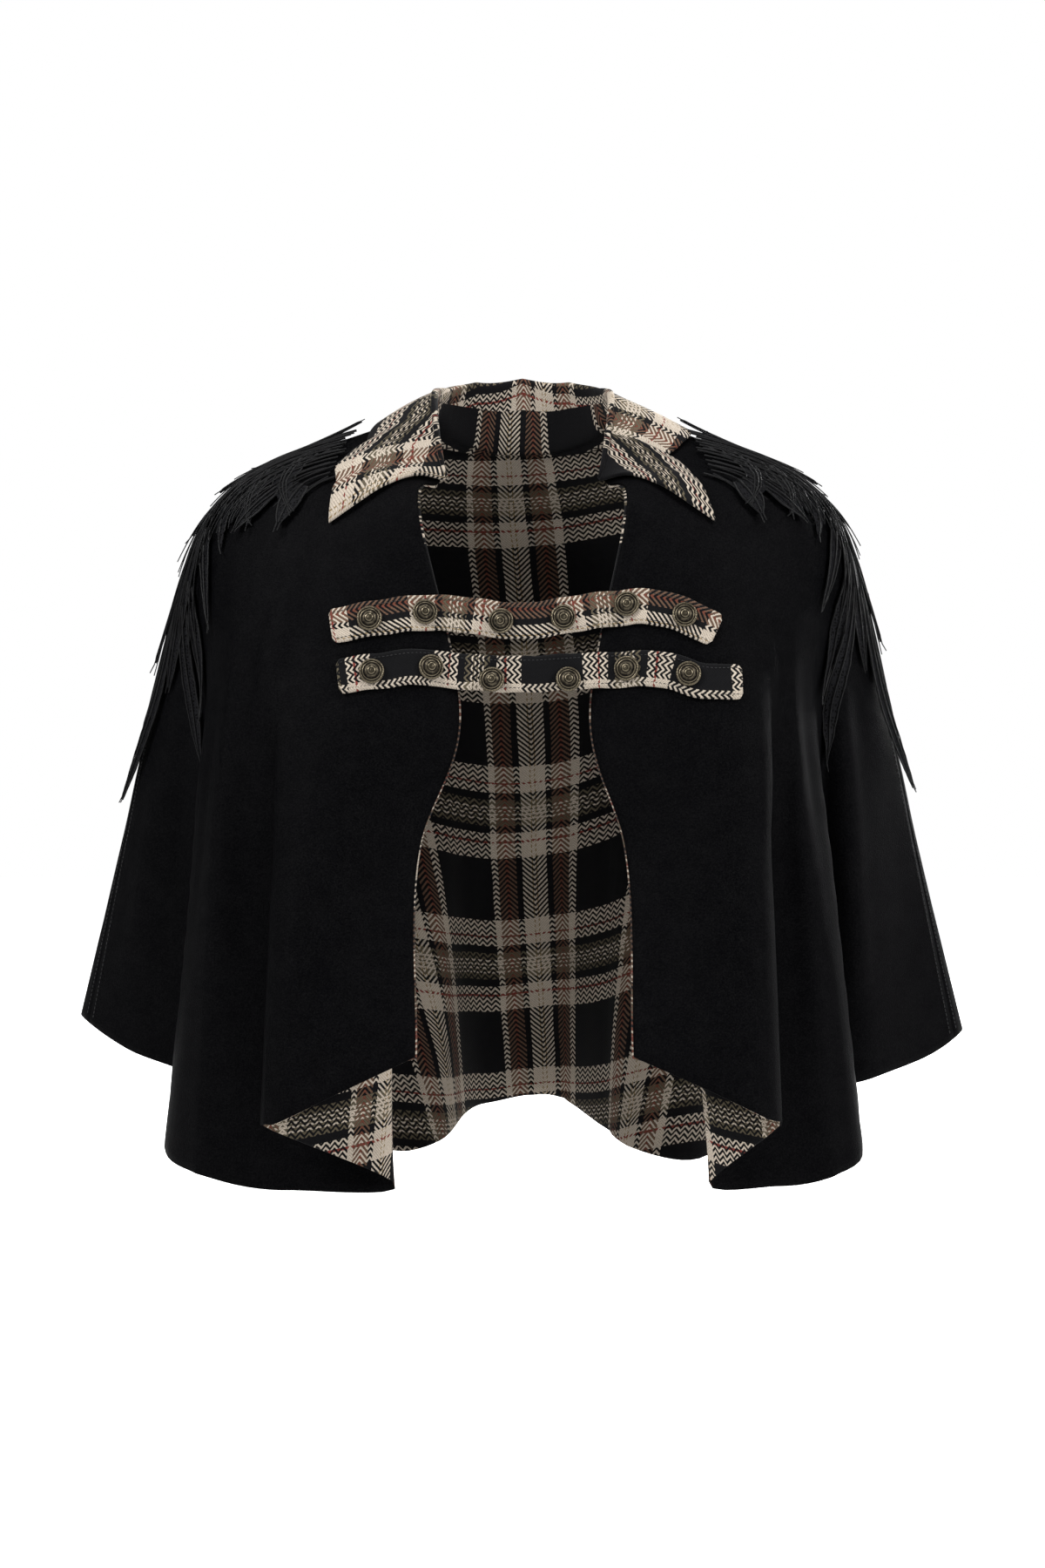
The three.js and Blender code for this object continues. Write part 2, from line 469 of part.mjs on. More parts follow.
// A blade with a raised quill, pointed at its tip and narrow at its root.
function featherGeometry(feather, applique) {
  const place = (t) => {
    const around = mix(feather.around, feather.tipAround, t);
    const down = mix(feather.down, feather.tipDown, t);
    const lift = mix(FEATHER.lift, feather.tipLift, t * t);
    return [applique.mirrored ? 360 - around : around, down + applique.shift * (down / 0.3), lift];
  };
  const rings = [];
  for (let k = 0; k <= FEATHER.steps; k += 1) {
    const t = k / FEATHER.steps;
    const [around, down, lift] = place(t);
    const centre = onCloth(around, down, lift);
    const normal = clothNormal(around, down);
    const ahead = onCloth(...place(t + 0.01)).sub(onCloth(...place(t - 0.01))).normalize();
    const side = normal.clone().cross(ahead).normalize();
    const fullness = Math.sin(Math.PI * (0.14 + 0.84 * t)) ** 0.7;
    const half = Math.max(0.8, (feather.width / 2) * fullness);
    const up = half < 1 ? 0.6 : FEATHER.ridge;
    rings.push([
      centre.clone().addScaledVector(side, half),
      centre.clone().addScaledVector(normal, up),
      centre.clone().addScaledVector(side, -half),
      centre.clone().addScaledVector(normal, -FEATHER.back),
    ]);
  }
  const position = rings.flat().flatMap((p) => [p.x, p.y, p.z]);
  const index = [];
  const sides = 4;
  for (let k = 0; k < FEATHER.steps; k += 1) {
    for (let j = 0; j < sides; j += 1) {
      const a = k * sides + j;
      const b = k * sides + ((j + 1) % sides);
      index.push(a, b, a + sides, b, b + sides, a + sides);
    }
  }
  const end = FEATHER.steps * sides;
  index.push(0, 2, 1, 0, 3, 2, end, end + 1, end + 2, end, end + 2, end + 3);
  const geometry = new THREE.BufferGeometry();
  geometry.setAttribute("position", new THREE.Float32BufferAttribute(position, 3));
  geometry.setIndex(index);
  return geometry;
}

// The closed solid that manifold-3d works on, made from a three.js geometry.
function solidOf(geometry) {
  const bare = geometry.clone();
  bare.deleteAttribute("normal");
  bare.deleteAttribute("uv");
  const merged = mergeVertices(bare);
  const solid = new wasm.Manifold(new wasm.Mesh({
    numProp: 3,
    vertProperties: new Float32Array(merged.attributes.position.array),
    triVerts: new Uint32Array(merged.index.array),
  }));
  return solid;
}

function geometryOf(solid) {
  const mesh = solid.getMesh();
  const geometry = new THREE.BufferGeometry();
  geometry.setAttribute("position", new THREE.BufferAttribute(new Float32Array(mesh.vertProperties), 3));
  geometry.setIndex(new THREE.BufferAttribute(new Uint32Array(mesh.triVerts), 1));
  return geometry;
}

function appliqueGeometry(applique) {
  const feathers = FEATHERS.map((feather) => solidOf(featherGeometry(feather, applique)));
  const joined = feathers.reduce((all, one) => all.add(one)).simplify(FEATHER.simplify);
  const skins = joined.decompose();
  return geometryOf(skins.reduce((outer, one) => (one.volume() > outer.volume() ? one : outer)));
}

const finish = {
  shell: new THREE.MeshStandardMaterial({ color: 0x141416, roughness: 0.9 }),
  plaid: new THREE.MeshStandardMaterial({ color: 0x6f6258, roughness: 0.95 }),
  metal: new THREE.MeshStandardMaterial({ color: 0x8a7d5e, roughness: 0.45, metalness: 0.9 }),
  thread: new THREE.MeshStandardMaterial({ color: 0x1b1b1e, roughness: 0.7 }),
};

function named(name, geometry, material) {
  const mesh = new THREE.Mesh(geometry, material);
  mesh.name = name;
  return mesh;
}

const SEAM_TURN = 0.05; // degrees kept clear on each side of a side seam
const PANELS = [
  { name: "right_front", from: FRONT_EDGE, to: RIGHT_SEAM - SEAM_TURN },
  { name: "back", from: RIGHT_SEAM + SEAM_TURN, to: LEFT_SEAM - SEAM_TURN },
  { name: "left_front", from: LEFT_SEAM + SEAM_TURN, to: 360 - FRONT_EDGE },
];

const cape = new THREE.Group();
for (const panel of PANELS) {
  const shell = panelGeometry(panel.from, panel.to, SHELL_OUTSIDE, SEWN_GAP / 2);
  const lining = panelGeometry(panel.from, panel.to, -SEWN_GAP / 2, -LINING_INSIDE);
  cape.add(named(`shell_${panel.name}`, shell, finish.shell));
  cape.add(named(`lining_${panel.name}`, lining, finish.plaid));
}
cape.add(named("collar", collarGeometry(), finish.plaid));
const counts = { upper: 0, lower: 0 };
const lines = {};
for (const [which, strap] of Object.entries(STRAPS)) {
  lines[which] = strapLine(strap);
  cape.add(named(`strap_${which}`, strapGeometry(lines[which]), finish.plaid));
}
for (const button of BUTTONS) {
  counts[button.strap] += 1;
  const mesh = named(`button_${button.strap}_${counts[button.strap]}`, buttonGeometry(), finish.metal);
  seatButton(mesh, lines[button.strap], button);
  cape.add(mesh);
}
for (const applique of APPLIQUES) cape.add(named(applique.name, appliqueGeometry(applique), finish.thread));

export default cape;
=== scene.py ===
"""A short lined wool cape, worn shape with no wearer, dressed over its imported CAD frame.

Tables are in millimetres, as in the part's source, and meshes are in metres. +Z is up, -Y is the front and
+X is the wearer's left. "around" is a place round the cape in degrees, from the wearer's right front edge
at 19 over the centre back at 180 to the left front edge at 341. "down" goes from 0 at the neck seam to 1
at the hem.
"""
import logging
import math
from dataclasses import dataclass
from enum import Enum
from typing import Iterable, Sequence

import bpy
import numpy as np
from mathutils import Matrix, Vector


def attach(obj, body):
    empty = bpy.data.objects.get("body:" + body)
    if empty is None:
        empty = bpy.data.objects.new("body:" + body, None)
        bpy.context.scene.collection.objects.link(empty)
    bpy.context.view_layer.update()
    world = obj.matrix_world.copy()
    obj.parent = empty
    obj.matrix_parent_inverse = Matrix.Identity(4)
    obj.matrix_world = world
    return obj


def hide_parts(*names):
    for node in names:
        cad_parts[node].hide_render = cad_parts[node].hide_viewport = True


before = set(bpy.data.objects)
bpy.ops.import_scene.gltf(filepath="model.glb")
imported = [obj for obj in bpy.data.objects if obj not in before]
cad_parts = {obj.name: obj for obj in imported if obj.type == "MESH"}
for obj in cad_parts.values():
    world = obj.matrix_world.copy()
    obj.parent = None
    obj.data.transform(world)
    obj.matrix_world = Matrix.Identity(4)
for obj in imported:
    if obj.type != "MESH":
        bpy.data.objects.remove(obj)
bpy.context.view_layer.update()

Grid = np.ndarray
log = logging.getLogger("cape")

MM = 0.001
SHELL_THICK = 1.8
LINING_THICK = 1.2
SEWN_GAP = 0.3
SHELL_OUTSIDE = SEWN_GAP / 2 + SHELL_THICK
LINING_INSIDE = SEWN_GAP / 2 + LINING_THICK
FRONT_EDGE = 19.0
RIGHT_SEAM = 92.0
LEFT_SEAM = 268.0
SEAM_TURN = 0.05
CHEST_Z = -245.0
WAIST_SHARE = 0.4
LEVELS = np.array([0.0, 0.26, 0.46, 0.68, 1.0])

# One row a fold line: around, then x and y at the chest, x and y at the waist, x, y and z at the hem.
FOLDS = np.array([
    (19, -49, -111, -79, -124, -81, -158, -506),
    (26, -114, -124, -134, -141, -140, -170, -533),
    (33, -170, -119, -181, -140, -185, -168, -555),
    (36, -183, -113, -187, -126, -193, -154, -559),
    (40, -192, -107, -120, -108, -103, -130, -600),
    (48, -209, -98, -188, -98, -178, -118, -611),
    (58, -229, -82, -238, -92, -246, -98, -602),
    (66, -246, -54, -257, -62, -278, -60, -588),
    (75, -253, -24, -246, -16, -250, -4, -545),
    (84, -283, 2, -298, 8, -318, 26, -517),
    (96, -300, 38, -326, 52, -363, 68, -492),
    (112, -262, 96, -284, 114, -322, 150, -520),
    (127, -204, 110, -214, 112, -240, 130, -566),
    (141, -152, 136, -160, 160, -182, 204, -568),
    (151, -112, 138, -112, 124, -110, 100, -607),
    (158, -82, 136, -76, 122, -70, 106, -600),
    (165, -54, 136, -52, 146, -50, 160, -583),
    (176, -14, 138, -20, 160, -24, 192, -576),
    (189, 34, 136, 30, 160, 31, 194, -572),
    (198, 66, 134, 62, 140, 66, 142, -590),
    (206, 94, 134, 92, 118, 92, 98, -605),
    (215, 124, 134, 132, 118, 148, 92, -613),
    (226, 166, 128, 186, 156, 204, 196, -572),
    (238, 214, 108, 230, 112, 252, 128, -568),
    (250, 262, 92, 288, 112, 322, 146, -526),
    (264, 296, 38, 322, 52, 362, 68, -504),
    (274, 280, 4, 300, 18, 326, 34, -524),
    (280, 256, -24, 264, -20, 282, 4, -537),
    (287, 238, -30, 236, -16, 246, -2, -551),
    (294, 226, -60, 241, -66, 264, -66, -586),
    (303, 210, -82, 222, -88, 238, -98, -603),
    (312, 199, -92, 196, -92, 196, -110, -609),
    (319, 190, -100, 138, -106, 143, -128, -603),
    (324, 185, -111, 188, -126, 194, -154, -557),
    (327, 174, -119, 181, -140, 185, -168, -552),
    (334, 118, -124, 134, -141, 140, -170, -530),
    (341, 53, -111, 79, -124, 84, -158, -506),
], dtype=float)


def unit(vectors: Grid) -> Grid:
    """Vectors scaled to length 1 along their last axis."""
    return vectors / np.maximum(np.linalg.norm(vectors, axis=-1, keepdims=True), 1e-12)


def power(value: Grid, exponent: Grid) -> Grid:
    """A power that keeps the sign of its base."""
    return np.sign(value) * np.abs(value) ** exponent


@dataclass(frozen=True)
class Crease:
    """One soft ridge or trough pressed into the cloth.

    path is its line as (around, down) pairs, width its half width and depth its height off the cloth in
    millimetres, below 0 for a trough. to_hem keeps its full depth at its lower end.
    """

    path: tuple[tuple[float, float], ...]
    width: float
    depth: float
    to_hem: bool = False


# Wearer's right front, then left front, then the sides and the back, uneven as in the real cloth.
CREASES = (
    Crease(((57, 0.33), (57.5, 0.5), (58, 0.7), (58.5, 1.0)), 7, 2.5, True),
    Crease(((62, 0.4), (62.5, 0.6), (63, 0.8)), 6, -2.0),
    Crease(((70, 0.42), (73, 0.55), (75, 0.75), (76, 0.95)), 7, -3.3, True),
    Crease(((66, 0.42), (66.5, 0.6), (67, 0.82), (67, 1.0)), 6, 2.1, True),
    Crease(((84, 0.5), (85, 0.68), (86, 0.9)), 8, 2.4),
    Crease(((79, 0.46), (80, 0.62), (80.5, 0.8)), 9, -2.1),
    Crease(((39.5, 0.3), (42, 0.42), (45, 0.55), (46.5, 0.78)), 10, 2.0),
    Crease(((50, 0.38), (52, 0.52), (53, 0.7), (53.5, 0.86)), 9, -1.8),
    Crease(((27, 0.55), (28.5, 0.72), (29, 0.9)), 16, 1.4),
    Crease(((22, 0.62), (22.6, 0.8), (22.4, 0.97)), 10, -1.0),
    Crease(((31, 0.42), (32, 0.5), (33, 0.62)), 9, -1.2),
    Crease(((303, 0.36), (303, 0.5), (303.5, 0.7), (303.5, 1.0)), 7, 2.5, True),
    Crease(((298, 0.42), (297.5, 0.6), (297, 0.84)), 6, -2.1),
    Crease(((294, 0.4), (293.5, 0.6), (293.5, 0.8), (293, 1.0)), 6, 2.0, True),
    Crease(((288, 0.42), (286.5, 0.6), (286, 0.8), (286, 1.0)), 7, -2.7, True),
    Crease(((280.5, 0.38), (280, 0.6), (280.5, 0.85)), 7, 2.7, True),
    Crease(((312, 0.4), (311, 0.55), (310.5, 0.74)), 9, -1.8),
    Crease(((318, 0.31), (316.5, 0.42), (315.5, 0.52)), 9, 1.7),
    Crease(((332.5, 0.55), (331, 0.7), (331, 0.88)), 15, 1.4),
    Crease(((337.5, 0.6), (337, 0.78), (337.4, 0.96)), 10, -1.0),
    Crease(((104, 0.4), (105, 0.6), (106, 0.86)), 9, 2.2),
    Crease(((98, 0.52), (98.5, 0.7), (99, 0.9)), 8, -2.0),
    Crease(((119, 0.44), (120, 0.62), (121, 0.85)), 10, -2.0),
    Crease(((134, 0.36), (134, 0.52), (133, 0.72)), 10, 1.8),
    Crease(((142, 0.3), (141.5, 0.5), (141, 0.74), (141, 1.0)), 9, 2.2, True),
    Crease(((152, 0.42), (151.5, 0.62), (151, 0.86)), 8, -2.4),
    Crease(((171, 0.46), (170.5, 0.66), (170, 0.92)), 8, -1.5),
    Crease(((180, 0.5), (182, 0.64), (184, 0.8), (184.5, 1.0)), 5, -2.4, True),
    Crease(((189, 0.52), (189.5, 0.7), (190, 1.0)), 5, 2.2, True),
    Crease(((206, 0.4), (206, 0.6), (207, 0.84)), 9, -2.0),
    Crease(((226, 0.33), (226, 0.55), (226.5, 0.8), (226.5, 1.0)), 9, 2.2, True),
    Crease(((219, 0.44), (218, 0.6), (217.5, 0.8)), 8, -1.8),
    Crease(((238, 0.4), (238.5, 0.6), (238, 0.83)), 10, -2.2),
    Crease(((251, 0.42), (251, 0.6), (252, 0.86)), 9, 2.1),
    Crease(((258, 0.5), (258, 0.68), (257, 0.88)), 8, -1.8),
    Crease(((165, 0.05), (172, 0.1), (186, 0.105), (196, 0.07)), 9, -1.2),
    Crease(((176, 0.34), (174, 0.5), (172, 0.72), (171, 0.9)), 7, 2.0),
    Crease(((185, 0.3), (187, 0.46), (190, 0.66), (193, 0.85)), 8, -2.2),
    Crease(((160, 0.3), (161, 0.48), (162, 0.7)), 8, -1.9),
    Crease(((198, 0.36), (200, 0.52), (201, 0.74), (200, 1.0)), 7, 2.1, True),
    Crease(((148, 0.52), (146, 0.7), (146, 0.95)), 7, 2.0, True),
)


class CapeForm:
    """The cape's sewn layer between shell and lining, as the part's source gives it."""

    half_width: float = 76
    front_depth: float = 62
    back_depth: float = 70
    front_drop: float = 63
    back_drop: float = 26
    shoulder_half_width: float = 246
    shoulder_front_depth: float = 98
    shoulder_back_depth: float = 118
    shoulder_front_z: float = -96
    shoulder_side_z: float = -88
    shoulder_back_z: float = -120

    def __init__(self) -> None:
        """Work out the five points and slopes of every fold line."""
        self.knots = FOLDS[:, 0]
        chest = np.column_stack([FOLDS[:, 1], FOLDS[:, 2], np.full(len(FOLDS), CHEST_Z)])
        waist_z = CHEST_Z + (FOLDS[:, 7] - CHEST_Z) * WAIST_SHARE
        waist = np.column_stack([FOLDS[:, 3], FOLDS[:, 4], waist_z])
        lines = [self.neck(self.knots), self.shoulder(self.knots), chest, waist, FOLDS[:, 5:8]]
        self.lines = np.stack(lines, axis=1)
        step = np.diff(LEVELS)[None, :, None]
        rate = np.diff(self.lines, axis=1) / step
        share = (step[:, :-1] / (step[:, :-1] + step[:, 1:]))
        middle = rate[:, :-1] * (1 - share) + rate[:, 1:] * share
        self.slopes = np.concatenate([rate[:, :1], middle, rate[:, -1:]], axis=1)

    def neck(self, around: Grid) -> Grid:
        """Points of the neck seam.

        Args:
            around: Places round the cape, in degrees.

        Returns:
            One point a place, in millimetres.
        """
        from_centre = np.where(around <= 180, around, 360 - around)
        in_front = from_centre < 90
        turn = np.where(in_front, 90 - (90 - from_centre) * 35 / (90 - FRONT_EDGE), from_centre)
        square = np.where(in_front, 2 / 3, 2 / 2.3)
        drop = np.where(
            in_front,
            self.front_drop * (np.maximum(90 - turn, 0) / 35) ** 1.4,
            self.back_drop * np.sin(np.radians(turn - 90)) ** 2,
        )
        side = np.where(around <= 180, -1, 1)
        depth = np.where(in_front, self.front_depth, self.back_depth)
        x = side * self.half_width * np.sin(np.radians(turn)) ** square
        return np.stack([x, -depth * power(np.cos(np.radians(turn)), square), -drop], axis=-1)

    def shoulder(self, around: Grid) -> Grid:
        """Points of the ring where the cloth leaves the shoulders, one for each place round the cape."""
        front = np.cos(np.radians(around))
        depth = np.where(front > 0, self.shoulder_front_depth, self.shoulder_back_depth)
        end_z = np.where(front > 0, self.shoulder_front_z, self.shoulder_back_z)
        x = -self.shoulder_half_width * np.sin(np.radians(around))
        z = self.shoulder_side_z + (end_z - self.shoulder_side_z) * np.abs(front)
        return np.stack([x, -depth * power(front, 0.86), z], axis=-1)

    def point(self, around: Grid, down: Grid) -> Grid:
        """Points of the sewn layer.

        Args:
            around: Places round the cape, in degrees.
            down: Places down the cape, 0 to 1, of the same shape.

        Returns:
            An array of that shape with three more numbers at each place.
        """
        around, down = np.broadcast_arrays(np.asarray(around, float), np.asarray(down, float))
        a, d = around.ravel(), down.ravel()
        i = np.searchsorted(self.knots[1:-1], a, side="left")
        near = np.clip(i[:, None] + np.arange(-1, 3), 0, len(self.knots) - 1)
        j = np.searchsorted(LEVELS[1:-1], d, side="left")[:, None]
        span = (LEVELS[j + 1] - LEVELS[j])
        t = ((d[:, None] - LEVELS[j]) / span)[..., None]
        ring = self.blend(
            self.lines[near, j], self.slopes[near, j] * span[..., None],
            self.lines[near, j + 1], self.slopes[near, j + 1] * span[..., None], t,
        )
        k = self.knots[near]
        t = ((a - k[:, 1]) / (k[:, 2] - k[:, 1]))[:, None]
        width = (k[:, 2] - k[:, 1])[:, None]
        points = self.blend(
            ring[:, 1], self.slope(ring, k, 1) * width, ring[:, 2], self.slope(ring, k, 2) * width, t
        )
        return points.reshape(around.shape + (3,))

    @staticmethod
    def blend(start: Grid, leave: Grid, end: Grid, arrive: Grid, t: Grid) -> Grid:
        """A smooth run between two points that leaves and arrives at given slopes."""
        t2, t3 = t * t, t * t * t
        return (
            start * (2 * t3 - 3 * t2 + 1) + leave * (t3 - 2 * t2 + t) + end * (3 * t2 - 2 * t3)
            + arrive * (t3 - t2)
        )

    @staticmethod
    def slope(ring: Grid, knots: Grid, at: int) -> Grid:
        """The slope across the fold lines at one of the four nearest ones."""
        before = (knots[:, at] - knots[:, at - 1])[:, None]
        after = (knots[:, at + 1] - knots[:, at])[:, None]
        behind = (ring[:, at] - ring[:, at - 1]) / np.maximum(before, 1e-9)
        ahead = (ring[:, at + 1] - ring[:, at]) / np.maximum(after, 1e-9)
        share = before / np.maximum(before + after, 1e-9)
        inner = behind * (1 - share) + ahead * share
        return np.where(before <= 0, ahead, np.where(after <= 0, behind, inner))

    def normal(self, around: Grid, down: Grid) -> Grid:
        """Outward normals of the sewn layer, one for each place."""
        a0, a1 = np.maximum(around - 0.5, FRONT_EDGE), np.minimum(around + 0.5, 360 - FRONT_EDGE)
        d0, d1 = np.maximum(down - 0.005, 0), np.minimum(down + 0.005, 1)
        across = self.point(a1, down) - self.point(a0, down)
        along = self.point(around, d1) - self.point(around, d0)
        return unit(np.cross(across, along))

    def lifted(self, around: Grid, down: Grid, lift: Grid) -> Grid:
        """Points moved off the sewn layer along its normal by a lift in millimetres."""
        lift = np.asarray(lift, float)
        return self.point(around, down) + self.normal(around, down) * lift[..., None]

    def creasing(self, around: Grid, down: Grid) -> Grid:
        """Height of the listed creases.

        Args:
            around: Places round the cape, in degrees.
            down: Places down the cape, of the same shape.

        Returns:
            Heights off the cloth in millimetres.
        """
        height = np.zeros(around.shape)
        for crease in CREASES:
            line = np.array(crease.path)
            t = np.linspace(0, 1, 48)
            along = np.linspace(0, 1, len(line))
            a, d = np.interp(t, along, line[:, 0]), np.interp(t, along, line[:, 1])
            here = self.point(a, d)
            per_degree = np.linalg.norm(self.point(a + 0.5, d) - here, axis=-1) * 2
            per_down = np.linalg.norm(self.point(a, d + 0.004) - here, axis=-1) * 250
            margin = 3.2 * crease.width
            reach_a, reach_d = margin / per_degree.min(), margin / per_down.min()
            close = (
                (around > a.min() - reach_a) & (around < a.max() + reach_a)
                & (down > d.min() - reach_d) & (down < d.max() + reach_d)
            )
            if not close.any():
                continue
            off_a = (around[close][:, None] - a) * per_degree
            off_d = (down[close][:, None] - d) * per_down
            square = off_a**2 + off_d**2
            nearest = square.argmin(axis=1)
            gap = square[np.arange(len(square)), nearest]
            place = t[nearest]
            fade = np.clip(place / 0.3, 0, 1)
            fade = fade * fade * (3 - 2 * fade)
            if not crease.to_hem:
                out = np.clip((1 - place) / 0.35, 0, 1)
                fade = fade * out * out * (3 - 2 * out)
            height[close] += crease.depth * np.exp(-gap / crease.width**2) * fade
        return height

    def arcs(self, around: Grid, down: float) -> Grid:
        """Distance along the cloth from the first place to each of the others, at one level."""
        points = self.point(around, np.full(around.shape, down))
        return np.concatenate([[0], np.linalg.norm(np.diff(points, axis=0), axis=-1).cumsum()])


CAPE = CapeForm()


def mesh_object(
    name: str, points: Grid, faces: Sequence[Sequence[int]], flat: Grid | None = None,
    raised: Grid | None = None, other: tuple[Grid, Grid] | None = None,
) -> bpy.types.Object:
    """Make a smooth-shaded mesh object.

    Args:
        name: Name of the object and its mesh.
        points: Points in millimetres.
        faces: Corner numbers of each face.
        flat: Places on the flat cut in millimetres, one a point, for the UV map.
        raised: A number a point, kept as the attribute "raised".
        other: A second cut joined to the first by a seam: its places, one a point, and which faces are of it.

    Returns:
        The new object, linked to the scene.
    """
    mesh = bpy.data.meshes.new(name)
    mesh.from_pydata((np.asarray(points) * MM).tolist(), [], [list(map(int, face)) for face in faces])
    mesh.update()
    mesh.polygons.foreach_set("use_smooth", [True] * len(mesh.polygons))
    if flat is not None:
        layer = mesh.uv_layers.new(name="flat_cut")
        corners = np.empty(len(mesh.loops), dtype=np.int32)
        mesh.loops.foreach_get("vertex_index", corners)
        cut = flat[corners]
        if other is not None:
            sides = np.array([len(face) for face in faces])
            cut = np.where(np.repeat(other[1], sides)[:, None], other[0][corners], cut)
        layer.data.foreach_set("uv", (cut * MM).ravel())
    if raised is not None:
        mesh.attributes.new("raised", "FLOAT", "POINT").data.foreach_set("value", raised.astype(float))
    made = bpy.data.objects.new(name, mesh)
    bpy.context.scene.collection.objects.link(made)
    return made


def wall(outer: Grid, inner: Grid, bulge: Grid | float) -> tuple[Grid, list[tuple[int, ...]], Grid]:
    """A closed wall between two grids of points, its edges rounded.

    Args:
        outer: Grid of the outer face, indexed [row, column].
        inner: Grid of the inner face, of the same shape.
        bulge: How far the edge rounds out past the grids, one number or one a grid place.

    Returns:
        The points, the faces and the grid place of each point.
    """
    rows, columns = outer.shape[:2]
    size = rows * columns
    number = np.arange(size).reshape(rows, columns)
    a, b = number[:-1, :-1].ravel(), number[:-1, 1:].ravel()
    c, d = number[1:, 1:].ravel(), number[1:, :-1].ravel()
    faces = [tuple(q) for q in np.stack([a, b, c, d], axis=1)]
    faces += [tuple(q) for q in np.stack([a, d, c, b], axis=1) + size]
    ring = np.concatenate([number[0, :], number[1:, -1], number[-1, -2::-1], number[-2:0:-1, 0]])
    r, col = np.divmod(ring, columns)
    inside = np.clip(r, 1, rows - 2) * columns + np.clip(col, 1, columns - 2)
    out_flat, in_flat = outer.reshape(-1, 3), inner.reshape(-1, 3)
    edge = (out_flat[ring] + in_flat[ring]) / 2
    away = unit(edge - (out_flat[inside] + in_flat[inside]) / 2)
    reach = np.broadcast_to(np.asarray(bulge, float), (rows, columns)).ravel()[ring][:, None]
    middle = edge + away * reach
    count = len(ring)
    for k in range(count):
        n = (k + 1) % count
        p, q, mp, mq = ring[k], ring[n], 2 * size + k, 2 * size + n
        faces.append((q, p, mp, mq))
        faces.append((mq, mp, p + size, q + size))
    points = np.concatenate([out_flat, in_flat, middle])
    return points, faces, np.concatenate([number.ravel(), number.ravel(), ring])


def linear(colour: str) -> tuple[float, float, float, float]:
    """An sRGB hex colour as Blender's linear colour."""
    channels = [int(colour.lstrip("#")[i : i + 2], 16) / 255 for i in (0, 2, 4)]
    made = [c / 12.92 if c <= 0.04045 else ((c + 0.055) / 1.055) ** 2.4 for c in channels]
    return (*made, 1.0)


def feed(node: bpy.types.Node, inputs: dict) -> None:
    """Link or set inputs of a node.

    Args:
        node: The node.
        inputs: For each input socket, by name or number, the value to set, the output to link, or the node
            whose first output to link.
    """
    for key, value in inputs.items():
        if isinstance(value, bpy.types.Node):
            value = value.outputs[0]
        if isinstance(value, bpy.types.NodeSocket):
            node.id_data.links.new(value, node.inputs[key])
        else:
            node.inputs[key].default_value = value


def add_node(
    tree: bpy.types.NodeTree, kind: str, settings: dict | None = None, inputs: dict | None = None
) -> bpy.types.Node:
    """Add a node with its settings and its inputs.

    Args:
        tree: The node tree.
        kind: Blender's name for the node type.
        settings: Properties of the node.
        inputs: What each input gets, as feed takes it.

    Returns:
        The new node.
    """
    node = tree.nodes.new(kind)
    for key, value in (settings or {}).items():
        setattr(node, key, value)
    feed(node, inputs or {})
    return node


MATH, MIX, RANGE, RAMP = "ShaderNodeMath", "ShaderNodeMix", "ShaderNodeMapRange", "ShaderNodeValToRGB"
NOISE, VECTOR, BUMP = "ShaderNodeTexNoise", "ShaderNodeVectorMath", "ShaderNodeBump"
# Settings that several nodes share.
ADD, SUBTRACT, MULTIPLY, MULTIPLY_ADD, SCALE, ABSOLUTE, FRACT = (
    {"operation": name}
    for name in ("ADD", "SUBTRACT", "MULTIPLY", "MULTIPLY_ADD", "SCALE", "ABSOLUTE", "FRACT")
)
SMOOTH = {"interpolation_type": "SMOOTHSTEP"}
COLOURS = {"data_type": "RGBA", "blend_type": "MIX"}
# The Mix node's sockets for two colours and their blend.
FIRST, SECOND, BLEND = 6, 7, 2


def fresh(name: str) -> tuple[bpy.types.Material, bpy.types.NodeTree, bpy.types.Node]:
    """A new material with its node tree and its Principled shader."""
    made = bpy.data.materials.new(name)
    made.use_nodes = True
    return made, made.node_tree, made.node_tree.nodes["Principled BSDF"]


@dataclass(frozen=True)
class Stripe:
    """A run of yarns of one colour in the plaid, its width in millimetres."""

    width: float
    colour: str


CREAM, BROWN, OLIVE, RED, INK = "#aca193", "#584336", "#514a3c", "#6c302a", "#060608"
OCHRE, RUST = "#7d6a4c", "#5f372b"
# The warp from the middle of a white stripe, and the weft from the top of a cream band.
WARP = (
    Stripe(1, CREAM), Stripe(1, OCHRE), Stripe(7.5, CREAM), Stripe(5, INK), Stripe(5.8, BROWN),
    Stripe(2.4, RUST), Stripe(5.8, BROWN), Stripe(6.5, CREAM), Stripe(52.5, INK), Stripe(5, CREAM),
    Stripe(5.8, BROWN), Stripe(2.4, RUST), Stripe(5.8, BROWN), Stripe(5, INK), Stripe(7.5, CREAM),
    Stripe(1, OCHRE), Stripe(1, CREAM),
)
WEFT = (
    Stripe(13.2, CREAM), Stripe(1.8, RED), Stripe(7, CREAM), Stripe(6.5, INK), Stripe(5.5, OLIVE),
    *(Stripe(1.6, CREAM), Stripe(1.7, OLIVE)) * 3,
    Stripe(1.6, CREAM), Stripe(5.5, OLIVE), Stripe(6, INK), Stripe(7, CREAM),
    Stripe(1.8, RED), Stripe(13.2, CREAM), Stripe(54.5, INK),
)
# Runs of the twill across the same repeat: width of each run and whether its strokes rise or fall.
TURNS = (
    (9.5, 1), (2.5, 1), (2.5, -1), (7, 1), (7, -1), (3.25, 1), (3.25, -1),
    *((3.75, 1), (3.75, -1)) * 7,
    (2.5, 1), (2.5, -1), (7, 1), (7, -1), (2.5, 1), (2.5, -1), (9.5, -1),
)


